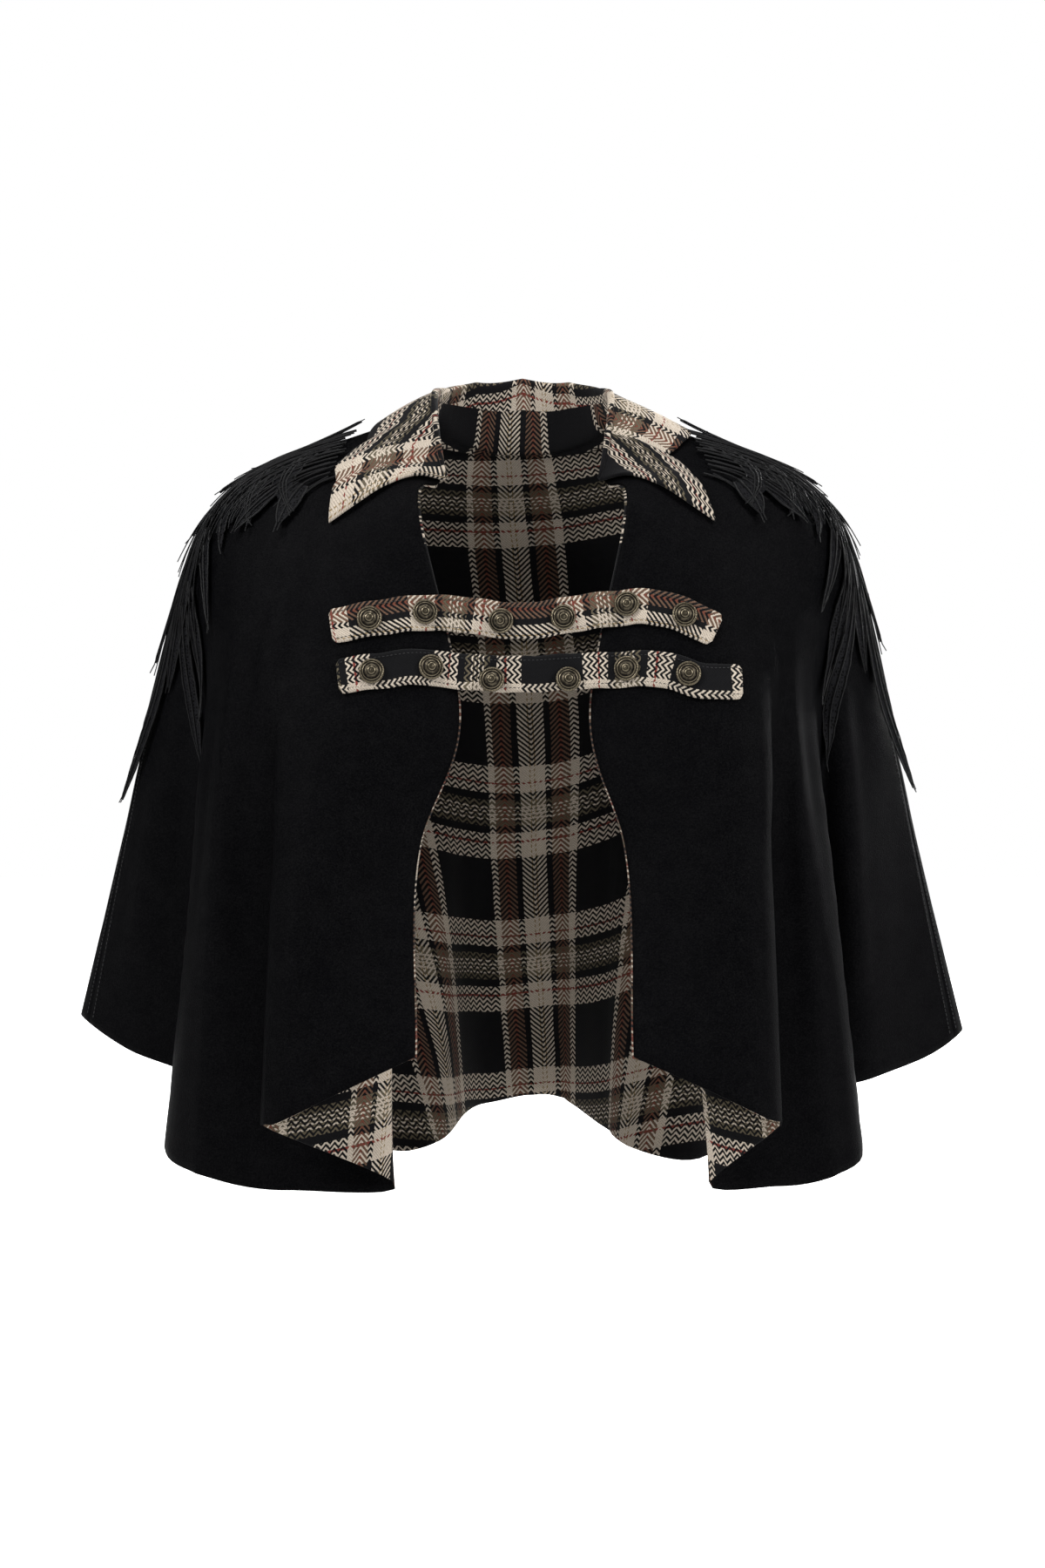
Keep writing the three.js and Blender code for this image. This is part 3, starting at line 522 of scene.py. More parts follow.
@dataclass(frozen=True)
class PlaidWool:
    """Brushed wool plaid in a herringbone twill.

    A herringbone shows warp and weft in equal slanting strokes that turn back at each stripe. Two colours
    crossing give chevrons, and one colour crossing itself gives a solid bright or dark block. stretch scales
    the sett along the weft direction where the piece was cut or eased shorter.
    """

    name: str = "brushed_wool_plaid"
    # The real strokes lie about 2.6 mm apart; they are drawn coarser so that they show.
    pitch: float = 4.4
    slope: float = 1.05
    stretch: float = 1.0
    # Fibres blur the strokes by about 0.4 mm, and yarns wander by a millimetre over a few centimetres.
    fuzz_reach: float = 0.0009
    wander_reach: float = 0.0022

    def stripes(self, tree: bpy.types.NodeTree, at: bpy.types.Node, sett: tuple[Stripe, ...],
                scale: float) -> bpy.types.Node:
        """Yarn colour across one set of stripes.

        Args:
            tree: The material's tree.
            at: Place across the stripes, in millimetres.
            sett: The stripes in order, repeated without end.
            scale: Factor on every width.

        Returns:
            The node whose first output is the colour.
        """
        total = sum(stripe.width for stripe in sett)
        repeats = add_node(tree, MATH, MULTIPLY, {0: at, 1: 1 / (total * scale)})
        ramp = add_node(tree, RAMP, inputs={0: add_node(tree, MATH, FRACT, {0: repeats})})
        ramp.color_ramp.interpolation = "CONSTANT"
        stops = ramp.color_ramp.elements
        done = 0.0
        for i, stripe in enumerate(sett):
            stop = stops[i] if i < 2 else stops.new(done / total)
            stop.position = done / total
            stop.color = linear(stripe.colour)
            done += stripe.width
        return ramp

    def turns(self, tree: bpy.types.NodeTree, at: bpy.types.Node) -> bpy.types.Node:
        """How far the strokes have risen at a place across the stripes, in millimetres."""
        total, top = sum(width for width, _ in TURNS), 20.0
        repeats = add_node(tree, MATH, MULTIPLY, {0: at, 1: 1 / total})
        ramp = add_node(tree, RAMP, inputs={0: add_node(tree, MATH, FRACT, {0: repeats})})
        stops = ramp.color_ramp.elements
        stops[0].color = (0, 0, 0, 1)
        place = height = 0.0
        for width, way in TURNS[:-1]:
            place, height = place + width, height + width * way
            stops.new(place / total).color = (*(height / top,) * 3, 1)
        stops[len(stops) - 1].color = (0, 0, 0, 1)
        return add_node(tree, MATH, MULTIPLY, {0: ramp, 1: top})

    def material(self) -> bpy.types.Material:
        """The finished material."""
        made, tree, shader = fresh(self.name)
        flat = add_node(tree, "ShaderNodeUVMap", {"uv_map": "flat_cut"})
        fuzz = add_node(tree, NOISE, inputs={"Vector": flat, "Scale": 1100.0, "Detail": 2.0})
        wander = add_node(tree, NOISE, inputs={"Vector": flat, "Scale": 28.0, "Detail": 1.0})
        blurred = add_node(tree, VECTOR, MULTIPLY_ADD, {
            0: fuzz.outputs["Color"], 1: (self.fuzz_reach, self.fuzz_reach, 0), 2: flat})
        moved = add_node(tree, VECTOR, MULTIPLY_ADD, {
            0: wander.outputs["Color"], 1: (self.wander_reach, self.wander_reach, 0), 2: blurred})
        place = add_node(tree, "ShaderNodeSeparateXYZ", inputs={0: moved})
        across = add_node(tree, MATH, MULTIPLY, {0: place.outputs[0], 1: 1 / MM})
        along = add_node(tree, MATH, MULTIPLY, {0: place.outputs[1], 1: 1 / MM})
        warp = self.stripes(tree, across, WARP, 1.0)
        weft = self.stripes(tree, along, WEFT, self.stretch)
        rise = add_node(tree, MATH, MULTIPLY_ADD, {0: self.turns(tree, across), 1: self.slope, 2: along})
        strokes = add_node(tree, MATH, MULTIPLY, {0: rise, 1: 1 / self.pitch})
        stroke = add_node(tree, MATH, SUBTRACT, {0: add_node(tree, MATH, FRACT, {0: strokes}), 1: 0.5})
        stroke = add_node(tree, MATH, ABSOLUTE, {0: stroke})
        over = add_node(tree, RANGE, SMOOTH, {0: stroke, 1: 0.2, 2: 0.3})
        cloth = add_node(tree, MIX, COLOURS, {0: over, FIRST: weft, SECOND: warp}).outputs[BLEND]
        # Painted shade: strokes are darker at their edges, where one yarn dives under the next.
        edge = add_node(tree, MATH, ABSOLUTE, {0: add_node(tree, MATH, SUBTRACT, {0: stroke, 1: 0.25})})
        groove = add_node(tree, RANGE, SMOOTH, {0: edge, 1: 0.0, 2: 0.1})
        shade = add_node(tree, MATH, MULTIPLY_ADD, {0: groove, 1: 0.5, 2: 0.5})
        blotch = add_node(tree, MATH, MULTIPLY_ADD, {0: wander.outputs["Fac"], 1: 0.35, 2: 0.82})
        nap = add_node(tree, MATH, MULTIPLY_ADD, {0: fuzz.outputs["Fac"], 1: 1.0, 2: 0.48})
        shade = add_node(tree, MATH, MULTIPLY, {
            0: shade, 1: add_node(tree, MATH, MULTIPLY, {0: blotch, 1: nap})})
        shaded = add_node(tree, VECTOR, SCALE, {0: cloth, "Scale": shade})
        height = add_node(tree, MATH, MULTIPLY_ADD, {0: fuzz.outputs["Fac"], 1: 0.5, 2: groove})
        feed(shader, {
            "Base Color": shaded, "Roughness": 0.92, "Specular IOR Level": 0.12,
            "Sheen Weight": 0.04, "Sheen Roughness": 0.5,
            "Normal": add_node(tree, BUMP, inputs={"Height": height, "Strength": 0.35, "Distance": 0.0005}),
        })
        return made


@dataclass(frozen=True)
class FeltedWool:
    """Melton: woven wool, fulled and brushed until the nap hides the weave. Matt, with a soft grey bloom at
    grazing angles and a faint mottle where fibres lie differently."""

    name: str = "black_felted_wool"
    dark: str = "#020203"
    light: str = "#0c0c0d"
    bloom: str = "#9d9ca1"

    def material(self) -> bpy.types.Material:
        """The finished material."""
        made, tree, shader = fresh(self.name)
        place = add_node(tree, "ShaderNodeTexCoord").outputs["Object"]
        # Fibre clumps of about 1 mm, drawn coarser than the real 0.1 mm hairs so that they show.
        fibre = add_node(tree, NOISE, inputs={
            "Vector": place, "Scale": 900.0, "Detail": 3.0, "Roughness": 0.65})
        mottle = add_node(tree, NOISE, inputs={"Vector": place, "Scale": 55.0, "Detail": 4.0})
        share = add_node(tree, MATH, MULTIPLY_ADD, {0: mottle.outputs["Fac"], 1: 0.8, 2: -2.05})
        share = add_node(tree, MATH, MULTIPLY_ADD, {0: fibre.outputs["Fac"], 1: 4.0, 2: share})
        cloth = add_node(tree, MIX, COLOURS, {0: share, FIRST: linear(self.dark), SECOND: linear(self.light)})
        height = add_node(tree, MATH, MULTIPLY_ADD, {
            0: mottle.outputs["Fac"], 1: 0.6, 2: fibre.outputs["Fac"]})
        feed(shader, {
            "Base Color": cloth.outputs[BLEND], "Roughness": 0.5, "Specular IOR Level": 0.018,
            "Sheen Weight": 0.003, "Sheen Roughness": 0.35, "Sheen Tint": linear(self.bloom),
            "Normal": add_node(tree, BUMP, inputs={"Height": height, "Strength": 0.6, "Distance": 0.0008}),
        })
        return made


@dataclass(frozen=True)
class LustreThread:
    """Rayon embroidery thread laid closely over the lace: black, with a low silky shine along each cord."""

    name: str = "black_rayon_thread"
    colour: str = "#030303"
    light: str = "#1e1e1f"

    def material(self) -> bpy.types.Material:
        """The finished material."""
        made, tree, shader = fresh(self.name)
        place = add_node(tree, "ShaderNodeTexCoord").outputs["Object"]
        twist = add_node(tree, NOISE, inputs={"Vector": place, "Scale": 700.0, "Detail": 2.0}).outputs["Fac"]
        cloth = add_node(tree, MIX, COLOURS, {
            0: twist, FIRST: linear(self.colour), SECOND: linear(self.light)})
        feed(shader, {
            "Base Color": cloth.outputs[BLEND], "Roughness": 0.4, "Specular IOR Level": 0.1,
            "Sheen Weight": 0.01,
            "Normal": add_node(tree, BUMP, inputs={"Height": twist, "Strength": 0.5, "Distance": 0.0005}),
        })
        return made


@dataclass(frozen=True)
class GuipureNet:
    """The net of stitches between the cords of guipure lace: dull black thread round small pits, whose near
    black is painted shade in the holes, darker than the wool beneath.
    """

    name: str = "black_guipure_net"
    thread: str = "#121214"
    # Painted shade: the pits, the net's holes, are near black.
    pit_shade: str = "#010101"
    cell: float = 2.6

    def material(self) -> bpy.types.Material:
        """The finished material."""
        made, tree, shader = fresh(self.name)
        place = add_node(tree, "ShaderNodeTexCoord").outputs["Object"]
        cells = add_node(tree, "ShaderNodeTexVoronoi", {"feature": "DISTANCE_TO_EDGE"}, {
            "Vector": place, "Scale": 1 / (self.cell * MM), "Randomness": 0.75})
        thick = add_node(tree, RANGE, SMOOTH, {
            0: cells.outputs["Distance"], 1: 0.14, 2: 0.3, 3: 1.0, 4: 0.0})
        cloth = add_node(tree, MIX, COLOURS, {0: thick, FIRST: linear(self.pit_shade), SECOND: linear(self.thread)})
        feed(shader, {
            "Base Color": cloth.outputs[BLEND], "Roughness": 0.6, "Specular IOR Level": 0.05,
            "Normal": add_node(tree, BUMP, inputs={"Height": thick, "Strength": 0.8, "Distance": 0.0008}),
        })
        return made


@dataclass(frozen=True)
class SewingThread:
    """Spun polyester thread, slightly shiny, with the twist showing as fine slanting lines."""

    name: str
    colour: str
    shade: float = 0.6

    def material(self) -> bpy.types.Material:
        """The finished material."""
        made, tree, shader = fresh(self.name)
        place = add_node(tree, "ShaderNodeTexCoord").outputs["Object"]
        twist = add_node(tree, "ShaderNodeTexWave", {"bands_direction": "DIAGONAL"}, {
            "Vector": place, "Scale": 500.0, "Distortion": 1.0}).outputs["Fac"]
        base = linear(self.colour)
        dark = tuple(self.shade * c for c in base[:3]) + (1.0,)
        cloth = add_node(tree, MIX, COLOURS, {0: twist, FIRST: dark, SECOND: base})
        feed(shader, {"Base Color": cloth.outputs[BLEND], "Roughness": 0.6})
        return made


@dataclass(frozen=True)
class AntiqueBronze:
    """Plated zinc alloy, blackened and then rubbed back: bright on the raised rings, dark in the grooves."""

    name: str = "antique_bronze_plate"
    blackened: str = "#131110"
    rubbed: str = "#6a6252"

    def material(self) -> bpy.types.Material:
        """The finished material."""
        made, tree, shader = fresh(self.name)
        raised = add_node(tree, "ShaderNodeAttribute", {"attribute_name": "raised"}).outputs["Fac"]
        place = add_node(tree, "ShaderNodeTexCoord").outputs["Object"]
        stain = add_node(tree, NOISE, inputs={"Vector": place, "Scale": 420.0, "Detail": 4.0}).outputs["Fac"]
        uneven = add_node(tree, MATH, MULTIPLY_ADD, {0: stain, 1: 0.7, 2: -0.35})
        wear = add_node(tree, MATH, ADD, {0: raised, 1: uneven})
        rub = add_node(tree, RANGE, SMOOTH, {0: wear, 1: 0.1, 2: 0.85})
        metal = add_node(tree, MIX, COLOURS, {
            0: rub, FIRST: linear(self.blackened), SECOND: linear(self.rubbed)})
        feed(shader, {
            "Base Color": metal.outputs[BLEND], "Metallic": 1.0,
            "Roughness": add_node(tree, MATH, MULTIPLY_ADD, {0: rub, 1: -0.25, 2: 0.58}),
            "Normal": add_node(tree, BUMP, inputs={"Height": stain, "Strength": 0.25, "Distance": 0.0003}),
        })
        return made


class Finish(Enum):
    """The finishes and the record's slot that each stands for."""

    SHELL = "black_wool"
    PLAID = "plaid_wool"
    METAL = "antique_bronze"
    THREAD = "black_thread"


class Wardrobe:
    """Makes each material once and dresses pieces with it."""

    def __init__(self) -> None:
        """Make the materials."""
        self.shell = FeltedWool().material()
        self.plaid = PlaidWool().material()
        # The straps' sett reads 0.87 as long, because they are cut a little off grain and eased.
        self.strap = PlaidWool(name="brushed_wool_plaid_straps", stretch=0.87).material()
        self.lace = LustreThread().material()
        self.net = GuipureNet().material()
        self.metal = AntiqueBronze().material()
        self.cream_thread = SewingThread("cream_sewing_thread", "#cfc6b8").material()
        self.black_thread = SewingThread("black_sewing_thread", "#0d0d0f").material()

    @staticmethod
    def dress(piece: bpy.types.Object, material: bpy.types.Material, finish: Finish) -> None:
        """Give a piece its material, and let it ride on the one body."""
        piece.data.materials.clear()
        piece.data.materials.append(material)
        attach(piece, "root")


class ThreadTree:
    """Geometry Nodes that turn lines into sewing: a row of stitches, or a continuous cord."""

    def __init__(self) -> None:
        """Build both trees."""
        self.stitches = self.stitch_tree()
        self.cords = self.cord_tree()

    @staticmethod
    def start(
        name: str, inputs: dict[str, tuple[str, object]]
    ) -> tuple[bpy.types.NodeTree, bpy.types.Node, bpy.types.Node]:
        """A new tree with a geometry input and output and named inputs.

        Args:
            name: The tree's name.
            inputs: For each input its socket type and default value.

        Returns:
            The tree, its group input and its group output.
        """
        tree = bpy.data.node_groups.new(name, "GeometryNodeTree")
        tree.interface.new_socket("Geometry", in_out="INPUT", socket_type="NodeSocketGeometry")
        for label, (kind, value) in inputs.items():
            socket = tree.interface.new_socket(label, in_out="INPUT", socket_type=kind)
            if value is not None:
                socket.default_value = value
        tree.interface.new_socket("Geometry", in_out="OUTPUT", socket_type="NodeSocketGeometry")
        return tree, tree.nodes.new("NodeGroupInput"), tree.nodes.new("NodeGroupOutput")

    def stitch_tree(self) -> bpy.types.NodeTree:
        """Small rounded stitches set one pitch apart along each line."""
        tree, given, out = self.start("machine_stitches", {
            "Pitch": ("NodeSocketFloat", 0.003), "Length": ("NodeSocketFloat", 0.0022),
            "Width": ("NodeSocketFloat", 0.0007), "Seed": ("NodeSocketInt", 3),
            "Material": ("NodeSocketMaterial", None),
        })
        curve = add_node(tree, "GeometryNodeMeshToCurve", inputs={0: given.outputs["Geometry"]})
        even = add_node(tree, "GeometryNodeResampleCurve", {"mode": "LENGTH"},
                        {"Curve": curve, "Length": given.outputs["Pitch"]})
        tangent = add_node(tree, "GeometryNodeInputTangent")
        turn = add_node(tree, "FunctionNodeAlignRotationToVector", {"axis": "Z"}, {"Vector": tangent})
        ball = add_node(tree, "GeometryNodeMeshUVSphere", inputs={"Segments": 6, "Rings": 4, "Radius": 0.5})
        vary = add_node(tree, "FunctionNodeRandomValue", {"data_type": "FLOAT"},
                        {2: 0.86, 3: 1.1, "Seed": given.outputs["Seed"]})
        length = add_node(tree, MATH, MULTIPLY, {0: given.outputs["Length"], 1: vary.outputs[1]})
        size = add_node(tree, "ShaderNodeCombineXYZ",
                        inputs={0: given.outputs["Width"], 1: given.outputs["Width"], 2: length})
        placed = add_node(tree, "GeometryNodeInstanceOnPoints",
                          inputs={"Points": even, "Instance": ball, "Rotation": turn, "Scale": size})
        real = add_node(tree, "GeometryNodeRealizeInstances", inputs={0: placed})
        done = add_node(tree, "GeometryNodeSetMaterial",
                        inputs={0: real, "Material": given.outputs["Material"]})
        tree.links.new(done.outputs[0], out.inputs[0])
        return tree

    def cord_tree(self) -> bpy.types.NodeTree:
        """A round cord of a few sides along each line, thinner towards its free end."""
        tree, given, out = self.start("laid_cords", {
            "Radius": ("NodeSocketFloat", 0.0005), "Sides": ("NodeSocketInt", 5),
            "Material": ("NodeSocketMaterial", None),
        })
        curve = add_node(tree, "GeometryNodeMeshToCurve", inputs={0: given.outputs["Geometry"]})
        place = add_node(tree, "GeometryNodeSplineParameter")
        thin = add_node(tree, RANGE, inputs={0: place, 1: 0.0, 2: 1.0, 3: 1.0, 4: 0.4})
        size = add_node(tree, MATH, MULTIPLY, {0: thin, 1: given.outputs["Radius"]})
        section = add_node(tree, "GeometryNodeCurvePrimitiveCircle",
                           inputs={"Resolution": given.outputs["Sides"], "Radius": 1.0})
        tube = add_node(tree, "GeometryNodeCurveToMesh",
                        inputs={"Curve": curve, "Profile Curve": section, "Fill Caps": True, "Scale": size})
        real = add_node(tree, "GeometryNodeRealizeInstances", inputs={0: tube})
        done = add_node(tree, "GeometryNodeSetMaterial",
                        inputs={0: real, "Material": given.outputs["Material"]})
        tree.links.new(done.outputs[0], out.inputs[0])
        return tree

    @staticmethod
    def sew(
        name: str, lines: Iterable[Grid], tree: bpy.types.NodeTree, inputs: dict[str, object]
    ) -> bpy.types.Object:
        """Run one of the trees along lines and keep the result as a plain mesh.

        Args:
            name: Name of the piece.
            lines: Rows of points in millimetres.
            tree: Which tree to run.
            inputs: Values for the tree's named inputs.

        Returns:
            The finished object.
        """
        points, edges, start = [], [], 0
        for line in lines:
            points.append(np.asarray(line))
            edges += [(start + k, start + k + 1) for k in range(len(line) - 1)]
            start += len(line)
        mesh = bpy.data.meshes.new(name + "_lines")
        mesh.from_pydata((np.concatenate(points) * MM).tolist(), edges, [])
        source = bpy.data.objects.new(name + "_lines", mesh)
        bpy.context.scene.collection.objects.link(source)
        modifier = source.modifiers.new("sewing", "NODES")
        modifier.node_group = tree
        sockets = {s.name: s.identifier for s in tree.interface.items_tree if s.in_out == "INPUT"}
        for label, value in inputs.items():
            modifier[sockets[label]] = value
        evaluated = source.evaluated_get(bpy.context.evaluated_depsgraph_get())
        made = bpy.data.meshes.new_from_object(evaluated)
        made.name = name
        made.polygons.foreach_set("use_smooth", [True] * len(made.polygons))
        bpy.data.objects.remove(source)
        bpy.data.meshes.remove(mesh)
        piece = bpy.data.objects.new(name, made)
        bpy.context.scene.collection.objects.link(piece)
        return piece


@dataclass
class Panel:
    """One cut panel of the cape: its shell, its lining and where the plaid's grain lies.

    start and end are its edges round the cape. grain is the place where the warp runs straight down, turned
    by lean degrees towards larger places. warp_at and weft_at move the sett across and along, in mm.
    """

    name: str
    start: float
    end: float
    grain: float
    lean: float
    warp_at: float
    weft_at: float
    step: float = 6.2
    rows: int = 96
    rim: float = 2.1

    def __post_init__(self) -> None:
        """Spread the columns evenly over the cloth and work out the flat cut."""
        dense = np.linspace(self.start, self.end, 1600)
        arc = (CAPE.arcs(dense, 1.0) + CAPE.arcs(dense, 0.5)) / 2
        count = int(round(arc[-1] / self.step))
        self.columns = np.interp(np.linspace(0, arc[-1], count + 1), arc, dense)
        downs = np.linspace(0, 1, self.rows)
        self.around, self.down = np.meshgrid(self.columns, downs)
        self.base = CAPE.point(self.around, self.down)
        self.normals = CAPE.normal(self.around, self.down)
        self.height = CAPE.creasing(self.around, self.down)
        self.flat = self.flat_cut()

    def flat_cut(self) -> Grid:
        """Place of every grid point on the flat cloth, in millimetres: a ring sector about the neck."""
        across = np.linalg.norm(np.diff(self.base, axis=1), axis=-1).cumsum(axis=1)
        across = np.concatenate([np.zeros((self.rows, 1)), across], axis=1)
        along = np.linalg.norm(np.diff(self.base, axis=0), axis=-1).cumsum(axis=0)
        along = np.concatenate([np.zeros((1, len(self.columns))), along], axis=0)
        zero = np.array([np.interp(self.grain, self.columns, row) for row in across])
        neck, hem = across[0, -1], across[-1, -1]
        length = along[-1].mean()
        first = length * neck / (hem - neck)
        radius = first + along.mean(axis=1)
        turn = (across - zero[:, None]) / radius[:, None] - math.radians(self.lean)
        reach = first + along
        u = reach * np.sin(turn) - self.warp_at
        v = reach * np.cos(turn) - first - self.weft_at
        return np.stack([u, v], axis=-1)

    def cut(self) -> tuple[tuple[float, float], float]:
        """Width and length of the flat cut's box, and its area, in metres."""
        flat = self.flat.reshape(-1, 2) * MM
        width, length = np.ptp(flat, axis=0)
        a = np.cross(self.base[1:, 1:] - self.base[:-1, :-1], self.base[1:, :-1] - self.base[:-1, 1:])
        area = float(np.linalg.norm(a, axis=-1).sum() / 2) * MM * MM
        return (float(width), float(max(length, area / width * 1.001))), area

    def surface(self, lift: float) -> Grid:
        """The grid lifted off the sewn layer, creases included."""
        return self.base + self.normals * (lift + self.height)[..., None]

    def piece(self, kind: str, outside: float, inside: float, bulge: Grid | float) -> bpy.types.Object:
        """A closed wall of cloth between two lifts."""
        points, faces, place = wall(self.surface(outside), self.surface(inside), bulge)
        flat = self.flat.reshape(-1, 2)[place]
        return mesh_object(f"cloth_{kind}_{self.name}", points, faces, flat)

    def build(self, wardrobe: Wardrobe) -> list[bpy.types.Object]:
        """Make and dress shell and lining.

        Args:
            wardrobe: The materials.

        Returns:
            The two pieces.
        """
        shell = self.piece("shell", SHELL_OUTSIDE, SEWN_GAP / 2, 0.5)
        # The lining turns out past the shell by a rim of plaid along the front edges.
        reach = np.full(self.around.shape, 0.4)
        in_front = (self.around < FRONT_EDGE + 0.01) | (self.around > 360 - FRONT_EDGE - 0.01)
        reach[in_front] = self.rim
        lining = self.piece("lining", -SEWN_GAP / 2, -LINING_INSIDE, reach)
        for made, material, finish, node in (
            (shell, wardrobe.shell, Finish.SHELL, f"shell_{self.name}"),
            (lining, wardrobe.plaid, Finish.PLAID, f"lining_{self.name}"),
        ):
            wardrobe.dress(made, material, finish)
            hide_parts(node)
        return [shell, lining]


# The collar's sections: seam, edge, down, stand, upright, inset and bulge, as in the part's source.
COLLAR_SECTIONS = np.array([
    (19, 36.5, 0.27, 8.5, 0, 0, 4),
    (27, 39.5, 0.225, 8, 0, 1.5, 4),
    (38, 42, 0.19, 9, 0.1, 3, 4),
    (50, 53, 0.13, 10, 0.25, 4, 4),
    (66, 63, 0.078, 11, 0.5, 5, 2),
    (88, 84, 0.055, 13, 0.8, 6, 1),
    (115, 115, 0.06, 23, 1, 8, 3),
    (147, 147, 0.055, 44, 1, 9, 3),
    (180, 180, 0.05, 55, 1, 9, 3),
    (213, 213, 0.055, 44, 1, 9, 3),
    (245, 247, 0.07, 23, 1, 8, 3),
    (270, 270, 0.08, 13, 0.8, 6, 1),
    (293, 296, 0.08, 11, 0.5, 5, 2),
    (309, 313, 0.086, 10, 0.25, 4, 3),
    (322, 320, 0.17, 9, 0.1, 3, 4),
    (333, 322.6, 0.238, 8, 0, 1.5, 4),
    (341, 323.5, 0.268, 7.5, 0, 0, 4),
], dtype=float)


def through(points: Grid, count: int) -> Grid:
    """Points on a smooth curve through the given ones, evenly spread over its spans.

    Args:
        points: Rows of points.
        count: How many points to return.

    Returns:
        An array of count points.
    """
    last = len(points) - 1
    at = np.linspace(0, last, count)
    i = np.minimum(at.astype(int), last - 1)
    t = (at - i)[:, None]
    before, start = points[np.maximum(i - 1, 0)], points[i]
    end, after = points[i + 1], points[np.minimum(i + 2, last)]
    return CapeForm.blend(start, (end - before) / 2, end, (after - start) / 2, t)


def normals_of(grid: Grid) -> Grid:
    """Unit normals of a grid of points, by its rows and columns."""
    return unit(np.cross(np.gradient(grid, axis=1), np.gradient(grid, axis=0)))


@dataclass
class Collar:
    """The turned-down plaid collar: a stand round the neck, a roll and a fall with two front points."""

    thick: float = 2.6
    base_up: float = 2.7
    roll: float = 5.0
    edge_lift: float = 4.8
    fall_lift: float = 5.8
    columns: int = 230
    rows: int = 42
    # The section place at which the seam joins stand and fall, and how far below the neck seam the stand is
    # sewn down over the lining at the back.
    seam_place: float = 3.2
    tuck: float = 18.0

    def __post_init__(self) -> None:
        """Spread places over the cloth, to find which one a point lies over."""
        around, down = np.meshgrid(np.linspace(19, 341, 161), np.linspace(0, 0.5, 41), indexing="ij")
        self.places = np.stack([around.ravel(), down.ravel()], axis=1)
        self.place_points = CAPE.point(self.places[:, 0], self.places[:, 1])

    def clear(self, points: Grid, lift: float) -> Grid:
        """Points lifted, where they have to be, until they clear the cloth below them."""
        nearest = ((self.place_points[None] - points[:, None]) ** 2).sum(axis=2).argmin(axis=1)
        normal = CAPE.normal(self.places[nearest, 0], self.places[nearest, 1])
        height = ((points - self.place_points[nearest]) * normal).sum(axis=1)
        return points + normal * np.maximum(lift - height, 0)[:, None]

    def sections(self) -> Grid:
        """The eleven points of every section, indexed [row, column]."""
        seam = np.linspace(FRONT_EDGE, 360 - FRONT_EDGE, self.columns + 1)
        edge_around, down, stand, upright, inset, bulge = (
            np.interp(seam, COLLAR_SECTIONS[:, 0], COLLAR_SECTIONS[:, k]) for k in range(1, 7)
        )
        neck = CAPE.neck(seam)
        inward = unit(np.stack([-neck[:, 0], -neck[:, 1] * 0.8, np.zeros(len(seam))], axis=1))
        zero = np.zeros(len(seam))
        off = unit(CAPE.point(seam, zero) - CAPE.point(seam, zero + 0.01))
        base = neck + off * self.base_up
        flat = CAPE.normal(seam, zero)
        rise = unit(flat + (np.array([0, 0, 1.0]) - flat) * upright[:, None])
        top = base + rise * stand[:, None] + inward * inset[:, None]
        edge = CAPE.lifted(edge_around, down, zero + self.edge_lift)
        towards = edge - top
        out = unit(towards - rise * (towards * rise).sum(axis=1, keepdims=True))
        before = top - rise * self.roll / 2
        after = self.clear(before + out * self.roll, self.edge_lift)
        crown = top + out * self.roll / 2
        middle = (base + before) / 2
        # At the back the stand hangs down inside the lining, to a straight row of stitches.
        tucked = np.clip((70 - np.abs(seam - 180)) / 22, 0, 1)[:, None]
        tucked = tucked * tucked * (3 - 2 * tucked)
        hung = np.clip((neck[:, 2] + 28.5) / math.cos(math.radians(12)), 2.5, self.tuck + 10)
        per_down = np.linalg.norm(CAPE.point(seam, zero + 0.02) - neck, axis=1) / 0.02
        inside = [
            CAPE.lifted(seam, hung * share / per_down, zero - LINING_INSIDE - 0.3 - self.thick / 2)
            for share in (1.0, 0.45)
        ]
        inside.append(CAPE.lifted(seam, zero, zero - LINING_INSIDE - 0.3 - self.thick / 2) + off * 1.2)
        plain = [base + (middle - base) * share for share in (0, 0.12, 0.3)]
        start = [p + (q - p) * tucked for p, q in zip(plain, inside)]
        lift = CAPE.normal(edge_around, down)
        fall = [
            self.clear(after + (edge - after) * s + lift * (bulge * math.sin(math.pi * s))[:, None],
                       self.fall_lift)
            for s in (0.25, 0.5, 0.75)
        ]
        return np.stack([*start, middle, before, crown, after, *fall, edge])

    def grid(self) -> Grid:
        """The collar's middle surface as a fine grid, its folds softened and its fall a little wavy."""
        coarse = self.sections()
        fine = np.stack([through(coarse[:, c], self.rows) for c in range(coarse.shape[1])], axis=1)
        # Listed waves run from the roll to the edge of the fall, deepest over the front points.
        share = np.clip((np.linspace(0, 10, self.rows) - 6.2) / 3.8, 0, 1)[:, None]
        seam = np.linspace(FRONT_EDGE, 360 - FRONT_EDGE, self.columns + 1)[None, :]
        wave = np.zeros((1, self.columns + 1))
        for at, width, height in (
            (30, 3.5, 0.9), (36, 3, -0.7), (43, 4, 1.1), (52, 4, -0.8), (62, 5, 0.9), (74, 6, -0.6),
            (100, 9, 0.7), (128, 8, -0.6), (160, 12, 0.8), (205, 11, -0.6), (232, 8, 0.8), (262, 7, -0.5),
            (287, 6, 0.9), (300, 4, -0.8), (312, 4, 1.0), (321, 3, -0.7), (329, 3, 0.9),
        ):
            wave += height * np.exp(-(((seam - at) / width) ** 2))
        return fine + normals_of(fine) * (wave * np.sin(share * math.pi * 0.75))[..., None]

